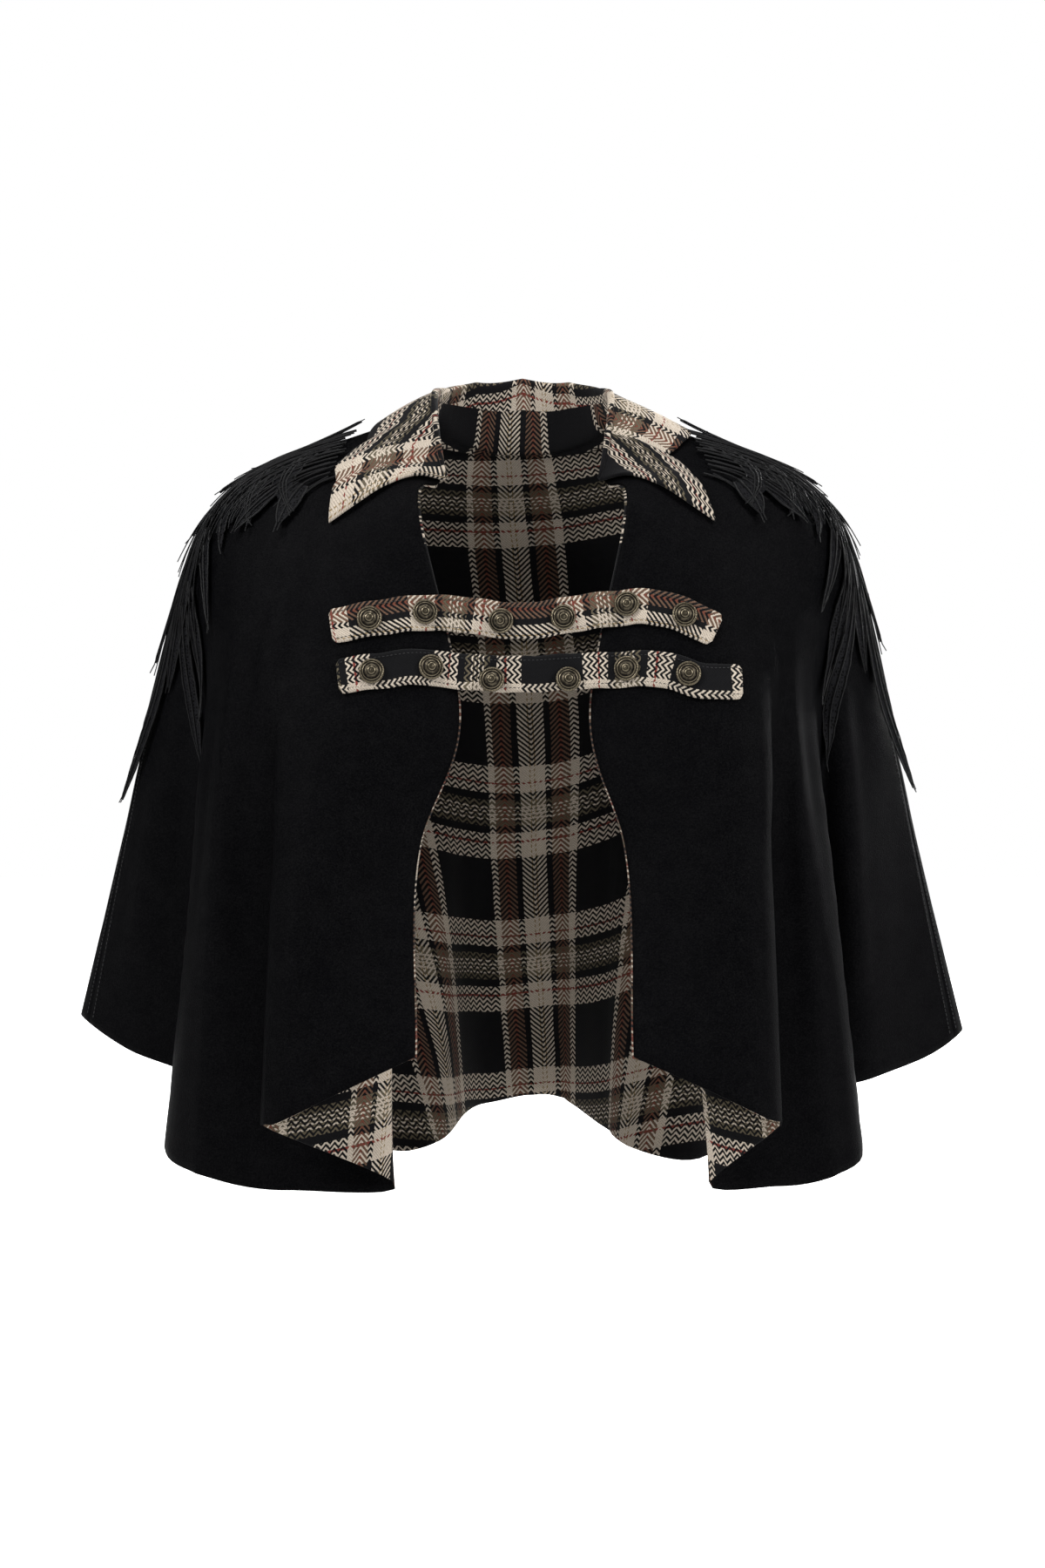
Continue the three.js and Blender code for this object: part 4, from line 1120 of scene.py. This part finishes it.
    def flat_cuts(self, grid: Grid) -> tuple[Grid, Grid]:
        """Place of every grid point on the plaid of the stand and of the fall.

        The warp stands up at the centre back in both. The weft bands of the stand are level with the neck
        seam, and those of the fall run along its outer edge.
        """
        middle = self.columns // 2
        across = np.linalg.norm(np.diff(grid, axis=1), axis=-1).mean(axis=0).cumsum()
        across = np.concatenate([[0], across])
        across -= across[middle]
        along = np.linalg.norm(np.diff(grid, axis=0), axis=-1).cumsum(axis=0)
        along = np.concatenate([np.zeros((1, grid.shape[1])), along], axis=0)
        neck_row = int(round(2 / 10 * (self.rows - 1)))
        u = np.broadcast_to(across[None, :], along.shape)
        stand = np.stack([u + 10.0, along[neck_row] - 13.0 - along], axis=-1)
        from_edge = along[-1:] - along
        shift = (from_edge[neck_row, middle] - 112) * np.exp(-((across / 150) ** 4))
        fall = np.stack([u - 24.0, from_edge - shift[None, :]], axis=-1)
        return stand, fall

    def build(self, wardrobe: Wardrobe) -> bpy.types.Object:
        """Make and dress the collar."""
        grid = self.grid()
        normal = normals_of(grid)
        points, faces, place = wall(grid + normal * self.thick / 2, grid - normal * self.thick / 2, 0.7)
        stand, fall = (cut.reshape(-1, 2)[place] for cut in self.flat_cuts(grid))
        row = place // grid.shape[1] * 10 / (self.rows - 1)
        on_fall = np.array([row[list(face)].mean() > self.seam_place for face in faces])
        collar = mesh_object("cloth_collar", points, faces, stand, other=(fall, on_fall))
        wardrobe.dress(collar, wardrobe.plaid, Finish.PLAID)
        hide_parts("collar")
        return collar


@dataclass
class Strap:
    """A plaid strap across the open front: the places of its centre line on the fronts, from the wearer's
    left end to the right one, and the sag in the middle. top and bottom are where its edges lie on the warp
    and along where x = 0 lies on the weft, in millimetres."""

    name: str
    on_fronts: tuple[tuple[float, float], ...]
    middle: tuple[float, float, float]
    top: float
    bottom: float
    along: float
    width: float = 27.0
    thick: float = 2.6
    lift: float = 4.1
    columns: int = 150
    rows: int = 14

    def __post_init__(self) -> None:
        """Work out the centre line's points and normals, with x as its knots."""
        places = np.array(self.on_fronts)
        half = len(places) // 2
        points = CAPE.lifted(places[:, 0], places[:, 1], np.full(len(places), self.lift))
        normals = CAPE.normal(places[:, 0], places[:, 1])
        self.points = np.insert(points, half, self.middle, axis=0)
        self.normals = np.insert(normals, half, (0, -1, 0), axis=0)
        self.knots = -self.points[:, 0]

    def smooth(self, values: Grid, at: Grid) -> Grid:
        """Values at places on the line, on a smooth curve through the given ones."""
        step = np.diff(self.knots)[:, None]
        rate = np.diff(values, axis=0) / step
        share = step[:-1] / (step[:-1] + step[1:])
        slopes = np.concatenate([rate[:1], rate[:-1] * (1 - share) + rate[1:] * share, rate[-1:]])
        i = np.searchsorted(self.knots[1:-1], at, side="left")
        span = step[i]
        t = ((at - self.knots[i]) / step[i, 0])[:, None]
        return CapeForm.blend(values[i], slopes[i] * span, values[i + 1], slopes[i + 1] * span, t)

    def frame_at(self, x: Grid) -> tuple[Grid, Grid, Grid, Grid]:
        """Point, direction ahead, normal and direction below at distances x from the centre front."""
        x = np.atleast_1d(np.asarray(x, float))
        point = self.smooth(self.points, -x)
        ahead = unit(self.smooth(self.points, -x + 1) - point)
        below = unit(np.cross(self.smooth(self.normals, -x), ahead))
        return point, ahead, unit(np.cross(ahead, below)), below

    def grid(self) -> tuple[Grid, Grid]:
        """Middle surface of the strap and the place of every point on its flat cut."""
        x = np.linspace(self.points[0, 0], self.points[-1, 0], self.columns + 1)
        point, _, normal, below = self.frame_at(x)
        across = np.linspace(-0.5, 0.5, self.rows)
        from_end = np.minimum(x[0] - x, x - x[-1])
        # The ends are turned square with corners of 4 mm.
        corner = 4.0
        chord = np.sqrt(np.maximum(corner**2 - (corner - from_end) ** 2, 0))
        inset = np.where(from_end < corner, corner - chord, 0)
        half = self.width / 2 - inset
        # The edges wander by under half a millimetre, and the buttons dimple the cloth between them.
        wander = 0.35 * np.sin(x * 0.21 + len(self.name)) + 0.25 * np.sin(x * 0.083 + 2)
        dimple = 0.35 * np.sin(x * 0.145 + 0.8) * np.exp(-((np.abs(across[:, None]) - 0.25) / 0.3) ** 2)
        grid = (
            point[None] + below[None] * (across[:, None] * 2 * half[None] + wander[None])[..., None]
            + normal[None] * dimple[..., None]
        )
        arc = np.concatenate([[0], np.linalg.norm(np.diff(point, axis=0), axis=1).cumsum()])
        middle = np.interp(0, -x, arc)
        flat = np.stack([
            np.broadcast_to(self.top + (across[:, None] + 0.5) * (self.bottom - self.top), grid.shape[:2]),
            np.broadcast_to((middle - arc)[None, :] + self.along, grid.shape[:2]),
        ], axis=-1)
        return grid, flat

    def build(self, wardrobe: Wardrobe) -> bpy.types.Object:
        """Make and dress the strap."""
        grid, flat = self.grid()
        normal = normals_of(grid)
        half = self.thick / 2
        edge = np.minimum(np.arange(self.rows), np.arange(self.rows)[::-1])[:, None, None]
        thin = np.where(edge == 0, 0.72, 1.0)
        points, faces, place = wall(grid + normal * half * thin, grid - normal * half * thin, 0.5)
        strap = mesh_object(f"cloth_strap_{self.name}", points, faces, flat.reshape(-1, 2)[place])
        wardrobe.dress(strap, wardrobe.strap, Finish.PLAID)
        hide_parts(f"strap_{self.name}")
        return strap

    def edge_lines(self) -> list[Grid]:
        """Lines for the topstitching, 3 mm inside both long edges."""
        x = np.linspace(self.points[0, 0] - 4, self.points[-1, 0] + 4, 90)
        point, _, normal, below = self.frame_at(x)
        reach = self.width / 2 - 3
        return [point + below * side * reach + normal * (self.thick / 2 + 0.1) for side in (-1, 1)]


@dataclass
class Button:
    """A domed metal button with a rope ring round its rim and plain rings inside it.

    x is its distance from the centre front, drop how far it hangs below the strap's centre line and tilt how
    far its face turns down, in degrees.
    """

    name: str
    strap: Strap
    x: float
    drop: float
    tilt: float
    radius: float = 9.75
    gap: float = 0.35
    segments: int = 80
    ropes: int = 26

    def profile(self) -> Grid:
        """Radius, height and how far raised, from the centre of the back over the rim to the top."""
        return np.array([
            (0, 0, 0), (6, 0, 0), (8.6, 0, 0), (9.3, 0.35, 0.2), (9.7, 0.95, 0.6), (9.7, 1.45, 0.9),
            (9.4, 2.1, 1.0), (8.9, 2.5, 1.0), (8.35, 2.35, 0.6), (7.95, 1.95, 0.0), (7.6, 1.95, 0.0),
            (7.3, 2.5, 0.5), (6.9, 2.85, 0.9), (6.5, 2.75, 0.4), (6.2, 2.7, 0.05), (5.5, 3.3, 0.25),
            (4.7, 3.9, 0.4), (4.0, 4.3, 0.45), (3.55, 4.45, 0.1), (3.2, 4.45, 0.1), (2.8, 4.85, 0.9),
            (2.2, 5.05, 0.9), (1.6, 4.85, 0.2), (0.9, 5.1, 0.8), (0, 5.2, 1.0),
        ])

    def build(self, wardrobe: Wardrobe) -> bpy.types.Object:
        """Make the button, seat it on its strap and dress it."""
        profile = self.profile()
        turn = np.linspace(0, 2 * math.pi, self.segments, endpoint=False)
        radius = np.repeat(profile[1:-1, :1], self.segments, axis=1)
        height = np.repeat(profile[1:-1, 1:2], self.segments, axis=1)
        raised = np.repeat(profile[1:-1, 2:], self.segments, axis=1)
        # Slanting lobes make the rope: they advance with the ring from outside to inside.
        rope = np.exp(-(((radius - 9.1) / 0.55) ** 2)) * (height > 1)
        lobes = np.cos(turn[None] * self.ropes + (radius - 9.1) * 2.6)
        height = height + 0.32 * rope * lobes
        raised = np.clip(raised + 0.5 * rope * lobes - 0.2 * rope, 0, 1)
        x, y = radius * np.cos(turn), radius * np.sin(turn)
        local = np.stack([x, y, height], axis=-1).reshape(-1, 3)
        local = np.concatenate([[[0, 0, 0]], local, [[0, 0, profile[-1, 1]]]])
        marks = np.concatenate([[0.0], raised.ravel(), [1.0]])
        rings, n = len(profile) - 2, self.segments
        faces: list[tuple[int, ...]] = [(0, 1 + (k + 1) % n, 1 + k) for k in range(n)]
        for r in range(rings - 1):
            for k in range(n):
                a, b = 1 + r * n + k, 1 + r * n + (k + 1) % n
                faces.append((a, b, b + n, a + n))
        last = len(local) - 1
        faces += [(last - n + k, last - n + (k + 1) % n, last) for k in range(n)]
        point, ahead, normal, below = (v[0] for v in self.strap.frame_at([self.x]))
        tilt = math.radians(self.tilt)
        face = unit(normal * math.cos(tilt) + np.cross(ahead, normal) * math.sin(tilt))
        lift = self.strap.thick / 2 + self.gap + self.radius * math.sin(abs(tilt))
        side = unit(ahead - face * ahead.dot(face))
        other = np.cross(face, side)
        centre = point + below * self.drop + normal * lift
        placed = centre + local[:, :1] * side + local[:, 1:2] * other + local[:, 2:] * face
        button = mesh_object(f"metal_{self.name}", placed, faces, raised=marks)
        wardrobe.dress(button, wardrobe.metal, Finish.METAL)
        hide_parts(self.name)
        return button


@dataclass(frozen=True)
class Feather:
    """One feather of the right applique: root and tip on the cloth, width in mm and the tip's lift."""

    around: float
    down: float
    tip_around: float
    tip_down: float
    width: float
    tip_lift: float


FEATHERS = (
    Feather(83, 0.1, 82, 0.3, 24, 4.3), Feather(83, 0.24, 84.5, 0.43, 26, 4.3),
    Feather(72, 0.11, 66, 0.27, 26, 4.3), Feather(84, 0.17, 87, 0.07, 15, 11),
    Feather(74, 0.12, 47, 0.255, 20, 5), Feather(77, 0.16, 58, 0.272, 19, 5),
    Feather(80, 0.19, 66, 0.3, 17, 5), Feather(88, 0.12, 108, 0.25, 19, 5),
    Feather(86, 0.12, 89, 0.235, 14, 12), Feather(87, 0.18, 92, 0.285, 14, 11),
    Feather(88, 0.2, 100, 0.33, 16, 8), Feather(81, 0.26, 66.5, 0.372, 14, 5),
    Feather(87, 0.27, 93, 0.405, 15, 9), Feather(81.5, 0.33, 68.5, 0.468, 13, 5.5),
    Feather(82.5, 0.35, 72, 0.552, 14, 6.5), Feather(87, 0.35, 92.5, 0.608, 16, 10),
    Feather(89, 0.35, 101, 0.54, 15, 6), Feather(57.5, 0.215, 61.5, 0.278, 17, 6.5),
    Feather(50, 0.205, 48.5, 0.272, 18, 6.5),
)
# The netted feathers, by number: their cords lie only along both edges and the quill.
NETTED = (0, 1, 11, 13, 14, 15, 16, 17, 18)
# Long loose cords laid over the feathers from the neck end of the applique: start, bend and end, each as
# around and down, and how far the end stands off the cloth.
SWEEPS = (
    (82, 0.078, 84, 0.14, 86, 0.215, 11), (80, 0.084, 82, 0.15, 84, 0.25, 9),
    (78, 0.088, 81, 0.16, 82, 0.275, 8), (75, 0.092, 79, 0.17, 80.5, 0.3, 9),
    (72, 0.096, 76, 0.17, 78.5, 0.318, 7), (69, 0.1, 73, 0.18, 76, 0.332, 8),
    (66, 0.104, 70, 0.18, 73, 0.312, 7), (63, 0.108, 67, 0.18, 70.5, 0.295, 9),
    (60, 0.114, 64, 0.18, 68, 0.282, 7), (57, 0.125, 61, 0.185, 65, 0.272, 8),
    (54, 0.14, 58, 0.195, 62, 0.268, 7), (51, 0.155, 54.5, 0.205, 58, 0.262, 9),
    (48, 0.168, 51, 0.21, 54, 0.264, 7), (45, 0.178, 48, 0.22, 50.5, 0.27, 8),
    (86.5, 0.1, 87.5, 0.2, 86.5, 0.33, 11), (88, 0.11, 88, 0.2, 84.5, 0.365, 10),
    (89, 0.1, 89, 0.21, 89, 0.31, 13), (89, 0.11, 91, 0.2, 94, 0.31, 10),
    (89.5, 0.1, 93, 0.18, 101, 0.28, 9), (89, 0.09, 94, 0.16, 106, 0.235, 8),
    (84, 0.2, 84, 0.3, 82.5, 0.4, 9), (87, 0.24, 89, 0.33, 90.5, 0.435, 12),
    (81, 0.24, 79, 0.33, 76.5, 0.41, 7),
)


@dataclass
class Applique:
    """A lace applique of stitched feathers on one shoulder: thin netted blades, cords laid side by side along
    them whose loose ends run on past the edge, and a thicker quill."""

    side: str
    mirrored: bool
    shift: float
    threads: ThreadTree
    lift: float = 4.3
    steps: int = 34
    across: int = 7
    cord_pitch: float = 4.4

    def place(self, feather: Feather, t: Grid) -> tuple[Grid, Grid, Grid]:
        """Around, down and lift at shares t of a feather's length."""
        around = feather.around + (feather.tip_around - feather.around) * t
        down = feather.down + (feather.tip_down - feather.down) * t
        lift = self.lift + (feather.tip_lift - self.lift) * t * t
        around = 360 - around if self.mirrored else around
        down = down + self.shift * (down / 0.3)
        return around, down, lift + CAPE.creasing(around, down)

    def spine(self, feather: Feather, t: Grid) -> tuple[Grid, Grid, Grid, Grid]:
        """Centre, normal, side and half width at shares t of a feather's length."""
        around, down, lift = self.place(feather, t)
        centre = CAPE.lifted(around, down, lift)
        normal = CAPE.normal(around, down)
        ahead = CAPE.lifted(*self.place(feather, t + 0.01)) - CAPE.lifted(*self.place(feather, t - 0.01))
        side = unit(np.cross(normal, unit(ahead)))
        fullness = np.sin(math.pi * (0.14 + 0.84 * np.clip(t, 0, 1))) ** 0.7
        return centre, normal, side, np.maximum(0.8, feather.width / 2 * fullness)

    def blade(self, feather: Feather, number: int) -> tuple[Grid, list[tuple[int, ...]]]:
        """The thin ground of one feather, its edge cut in slanting teeth."""
        t = np.linspace(0, 1, self.steps)
        centre, normal, side, half = self.spine(feather, t)
        length = np.linalg.norm(np.diff(centre, axis=0), axis=1).sum()
        teeth = length / (self.cord_pitch * 2)
        tooth = 1 - 0.16 * ((t * teeth + 0.37 * number) % 1.0)
        s = np.linspace(-1, 1, self.across)
        up = 0.55 * (1 - np.abs(s)) + 0.1
        grid = (
            centre[None] + side[None] * (s[:, None] * (half * tooth * 0.97)[None])[..., None]
            + normal[None] * (up[:, None] * np.minimum(half / 3, 1)[None])[..., None]
        )
        points, faces, _ = wall(grid + 0.35 * normal[None], grid - 0.45 * normal[None], 0.2)
        return points, faces

    def cords(self, feather: Feather, number: int) -> list[Grid]:
        """Lines of the cords along one feather, side by side, their ends loose and uneven."""
        length = np.linalg.norm(np.diff(self.spine(feather, np.linspace(0, 1, 12))[0], axis=0), axis=1).sum()
        count = 2 if number in NETTED else int(feather.width / self.cord_pitch)
        lines = []
        for k, s in enumerate(np.linspace(-0.95, 0.95, count)):
            odd = (k * 5 + number * 3) % 7 / 6
            past = (3 + 6 * odd) / length
            stop = 1 + past - (0.22 + 0.3 * odd) * abs(s) ** 2 * (number not in NETTED)
            t = np.linspace(0.01, stop, 18)
            centre, normal, side, half = self.spine(feather, t)
            loose = np.clip((t - stop + 9 / length) * length / 9, 0, 1) ** 2
            wave = 0.3 * np.sin(t * length * 0.3 + 2.1 * k + number)
            off = s * half + math.copysign(1.2 + 1.8 * odd, s) * loose * (number not in NETTED) + wave
            rise = 0.75 + 0.7 * (1 - abs(s)) * np.minimum(half / 3, 1) + 1.4 * odd * loose
            lines.append(centre + side * off[:, None] + normal * rise[:, None])
        return lines

    def sweeps(self) -> list[Grid]:
        """Lines of the long loose cords over the feathers."""
        lines = []
        t = np.linspace(0, 1, 26)
        for number, (a0, d0, a1, d1, a2, d2, off) in enumerate(SWEEPS):
            a = (1 - t) ** 2 * a0 + 2 * t * (1 - t) * a1 + t * t * a2
            d = (1 - t) ** 2 * d0 + 2 * t * (1 - t) * d1 + t * t * d2
            for k in (-1, 1) if number % 3 else (0,):
                around = a + k * (0.75 + 0.35 * t) + 0.3 * np.sin(9 * t + number + k)
                down = d + k * 0.003 + self.shift * (d / 0.3)
                around = 360 - around if self.mirrored else around
                under = 2.1 * min(max((a0 - 45) / 25, 0.0), 1.0)
                sway = 0.45 * np.sin(7 * t + 2 * number + 2 * k)
                lift = self.lift + under + (off - 6.4 + 0.9 * k) * t**3 + sway
                keep = slice(0, 26 - (number * 2 + k * 3) % 5)
                lines.append(CAPE.lifted(around, down, lift + CAPE.creasing(around, down))[keep])
        return lines

    def quill(self, feather: Feather) -> Grid:
        """Line of the corded quill."""
        t = np.linspace(0, 1, 22)
        centre, normal, _, half = self.spine(feather, t)
        return centre + normal * (1.35 * np.minimum(half / 2, 1) + 0.2)[:, None]

    def build(self, wardrobe: Wardrobe) -> list[bpy.types.Object]:
        """Make and dress blades, quills and cords."""
        points, faces, start = [], [], 0
        for number, feather in enumerate(FEATHERS):
            blade, blade_faces = self.blade(feather, number)
            points.append(blade)
            faces += [tuple(start + k for k in face) for face in blade_faces]
            start += len(blade)
        ground = mesh_object(f"lace_ground_{self.side}", np.concatenate(points), faces)
        lines = [line for number, f in enumerate(FEATHERS) for line in self.cords(f, number)] + self.sweeps()
        cords = self.threads.sew(
            f"lace_cords_{self.side}", lines,
            self.threads.cords, {"Radius": 0.00105, "Sides": 6, "Material": wardrobe.lace})
        quills = self.threads.sew(
            f"lace_quills_{self.side}", [self.quill(f) for f in FEATHERS],
            self.threads.cords, {"Radius": 0.0011, "Sides": 8, "Material": wardrobe.lace})
        for made, material in ((ground, wardrobe.net), (cords, wardrobe.lace), (quills, wardrobe.lace)):
            wardrobe.dress(made, material, Finish.THREAD)
        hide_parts(f"applique_{self.side}")
        return [ground, cords, quills]


@dataclass
class Sewing:
    """The machine stitching that shows: neck seam, side seams, front edges and straps."""

    threads: ThreadTree
    straps: Sequence[Strap]

    def build(self, wardrobe: Wardrobe) -> list[bpy.types.Object]:
        """Make and dress the rows of stitches."""
        neck = np.linspace(120, 240, 120)
        inside = CAPE.lifted(neck, np.full(120, 0.004), np.full(120, -LINING_INSIDE - 0.15))
        sides = []
        for at in (RIGHT_SEAM - 0.9, RIGHT_SEAM + 0.9, LEFT_SEAM - 0.9, LEFT_SEAM + 0.9):
            down = np.linspace(0.3, 0.985, 140)
            around = np.full(140, at)
            sides.append(CAPE.lifted(around, down, SHELL_OUTSIDE + 0.12 + CAPE.creasing(around, down)))
        neck_row = self.threads.sew("stitches_neck", [inside], self.threads.stitches, {
            "Pitch": 0.0034, "Length": 0.0026, "Width": 0.0008, "Seed": 5, "Material": wardrobe.cream_thread})
        side_rows = self.threads.sew("stitches_side_seams", sides, self.threads.stitches, {
            "Pitch": 0.0036, "Length": 0.0027, "Width": 0.0008, "Seed": 9, "Material": wardrobe.black_thread})
        strap_rows = self.threads.sew(
            "stitches_straps", [line for strap in self.straps for line in strap.edge_lines()],
            self.threads.stitches, {
                "Pitch": 0.0032, "Length": 0.0023, "Width": 0.0006, "Seed": 2,
                "Material": wardrobe.black_thread})
        wardrobe.dress(neck_row, wardrobe.cream_thread, Finish.THREAD)
        wardrobe.dress(side_rows, wardrobe.black_thread, Finish.THREAD)
        wardrobe.dress(strap_rows, wardrobe.black_thread, Finish.THREAD)
        return [neck_row, side_rows, strap_rows]


@dataclass
class Studio:
    """Pale floor, soft lights and the photograph's camera."""

    floor_z: float = -0.66
    floor_side: float = 18.0
    lens: float = 68.57
    distance: float = 2.4
    eye_z: float = -0.301

    def backdrop(self) -> None:
        """A wide floor that runs on into the white air all round."""
        half = self.floor_side / 2
        corners = np.array([(-half, -half), (half, -half), (half, half), (-half, half)])
        corners = np.column_stack([corners, np.full(4, self.floor_z)]) / MM
        floor = mesh_object("studio_floor", corners, [(0, 1, 2, 3)])
        made, tree, shader = fresh("white_studio_paper")
        # The paper shows white to the camera, but throws little light back into the open cape.
        seen = add_node(tree, "ShaderNodeLightPath").outputs["Is Camera Ray"]
        feed(shader, {
            "Base Color": linear("#f4f4f4"), "Roughness": 0.95, "Emission Color": (1, 1, 1, 1),
            "Emission Strength": add_node(tree, MATH, MULTIPLY_ADD, {0: seen, 1: 0.88, 2: 0.06}),
        })
        floor.data.materials.append(made)

    def light(self, name: str, place: tuple[float, float, float], size: float, power_w: float) -> None:
        """A square soft light aimed at the chest."""
        data = bpy.data.lights.new(name, "AREA")
        data.shape, data.size, data.energy = "SQUARE", size, power_w
        lamp = bpy.data.objects.new(name, data)
        lamp.location = place
        aim = Vector((0, 0, -0.3)) - Vector(place)
        lamp.rotation_euler = aim.to_track_quat("-Z", "Y").to_euler()
        bpy.context.scene.collection.objects.link(lamp)

    def build(self) -> None:
        """Make the floor, the lights, the world and the camera."""
        self.backdrop()
        self.light("key", (-2.2, -1.6, 1.8), 1.1, 112)
        self.light("fill", (2.4, -1.4, 1.3), 1.1, 78)
        self.light("top", (0.1, -0.6, 2.6), 1.2, 46)
        self.light("back", (2.0, 2.2, 1.1), 1.0, 150)
        scene = bpy.context.scene
        world = bpy.data.worlds.new("studio_air")
        world.use_nodes = True
        tree = world.node_tree
        seen = add_node(tree, "ShaderNodeLightPath").outputs["Is Camera Ray"]
        feed(tree.nodes["Background"], {
            "Color": (1, 1, 1, 1),
            "Strength": add_node(tree, MATH, MULTIPLY_ADD, {0: seen, 1: 0.93, 2: 0.07}),
        })
        scene.world = world
        scene.view_settings.view_transform = "Standard"
        data = bpy.data.cameras.new("photo_camera")
        data.lens, data.sensor_width, data.sensor_fit = self.lens, 36.0, "AUTO"
        camera = bpy.data.objects.new("photo_camera", data)
        camera.location = (0, -self.distance, self.eye_z)
        camera.rotation_euler = (math.pi / 2, 0, 0)
        scene.collection.objects.link(camera)
        scene.camera = camera


STRAPS = (
    Strap(
        "upper",
        ((329.3, 0.382), (332.5, 0.368), (336.7, 0.359), (340.3, 0.36), (19.3, 0.364), (21, 0.364),
         (25.3, 0.369), (31, 0.378)),
        (0, -115, -176), top=-28.0, bottom=-1.0, along=-30.0,
    ),
    Strap(
        "lower",
        ((327.6, 0.43), (331.5, 0.429), (335, 0.418), (340.2, 0.417), (19.8, 0.417), (22, 0.414),
         (25.5, 0.419), (29.4, 0.425)),
        (0, -118, -217), top=55.0, bottom=28.0, along=-48.0,
    ),
)
BUTTON_PLACES = (
    ("upper", ((124, 0, 0), (80.5, -2, 0), (30.5, 1, 0), (-16, 1, 0), (-75, 0, 0), (-117, 0, 0))),
    ("lower", ((126, -2, 0), (80, 0, 0), (34, 6, 8), (-22.5, 5, 8), (-70.5, 0, 0), (-115, 0, 0))),
)
PANELS = (
    Panel("right_front", FRONT_EDGE, RIGHT_SEAM - SEAM_TURN, 30, 0, 20, 8),
    Panel("back", RIGHT_SEAM + SEAM_TURN, LEFT_SEAM - SEAM_TURN, 180, 4, -20, 8),
    Panel("left_front", LEFT_SEAM + SEAM_TURN, 360 - FRONT_EDGE, 330, 0, -20, 8),
)


def main() -> None:
    """Build every sub-assembly in order and report each piece."""
    logging.basicConfig(level=logging.INFO, format="%(name)s: %(message)s")
    Studio().build()
    wardrobe = Wardrobe()
    threads = ThreadTree()
    made: list[bpy.types.Object] = []
    for panel in PANELS:
        made += panel.build(wardrobe)
    made.append(Collar().build(wardrobe))
    made += [strap.build(wardrobe) for strap in STRAPS]
    by_name = {strap.name: strap for strap in STRAPS}
    for which, places in BUTTON_PLACES:
        for number, (x, drop, tilt) in enumerate(places, 1):
            made.append(Button(f"button_{which}_{number}", by_name[which], x, drop, tilt).build(wardrobe))
    for side, mirrored, shift in (("right", False, 0.0), ("left", True, -0.015)):
        made += Applique(side, mirrored, shift, threads).build(wardrobe)
    made += Sewing(threads, STRAPS).build(wardrobe)
    total = 0
    for piece in made:
        count = sum(len(p.vertices) - 2 for p in piece.data.polygons)
        total += count
        log.info("%s: %d triangles", piece.name, count)
    log.info("all pieces: %d triangles", total)


if __name__ == "__main__":
    main()
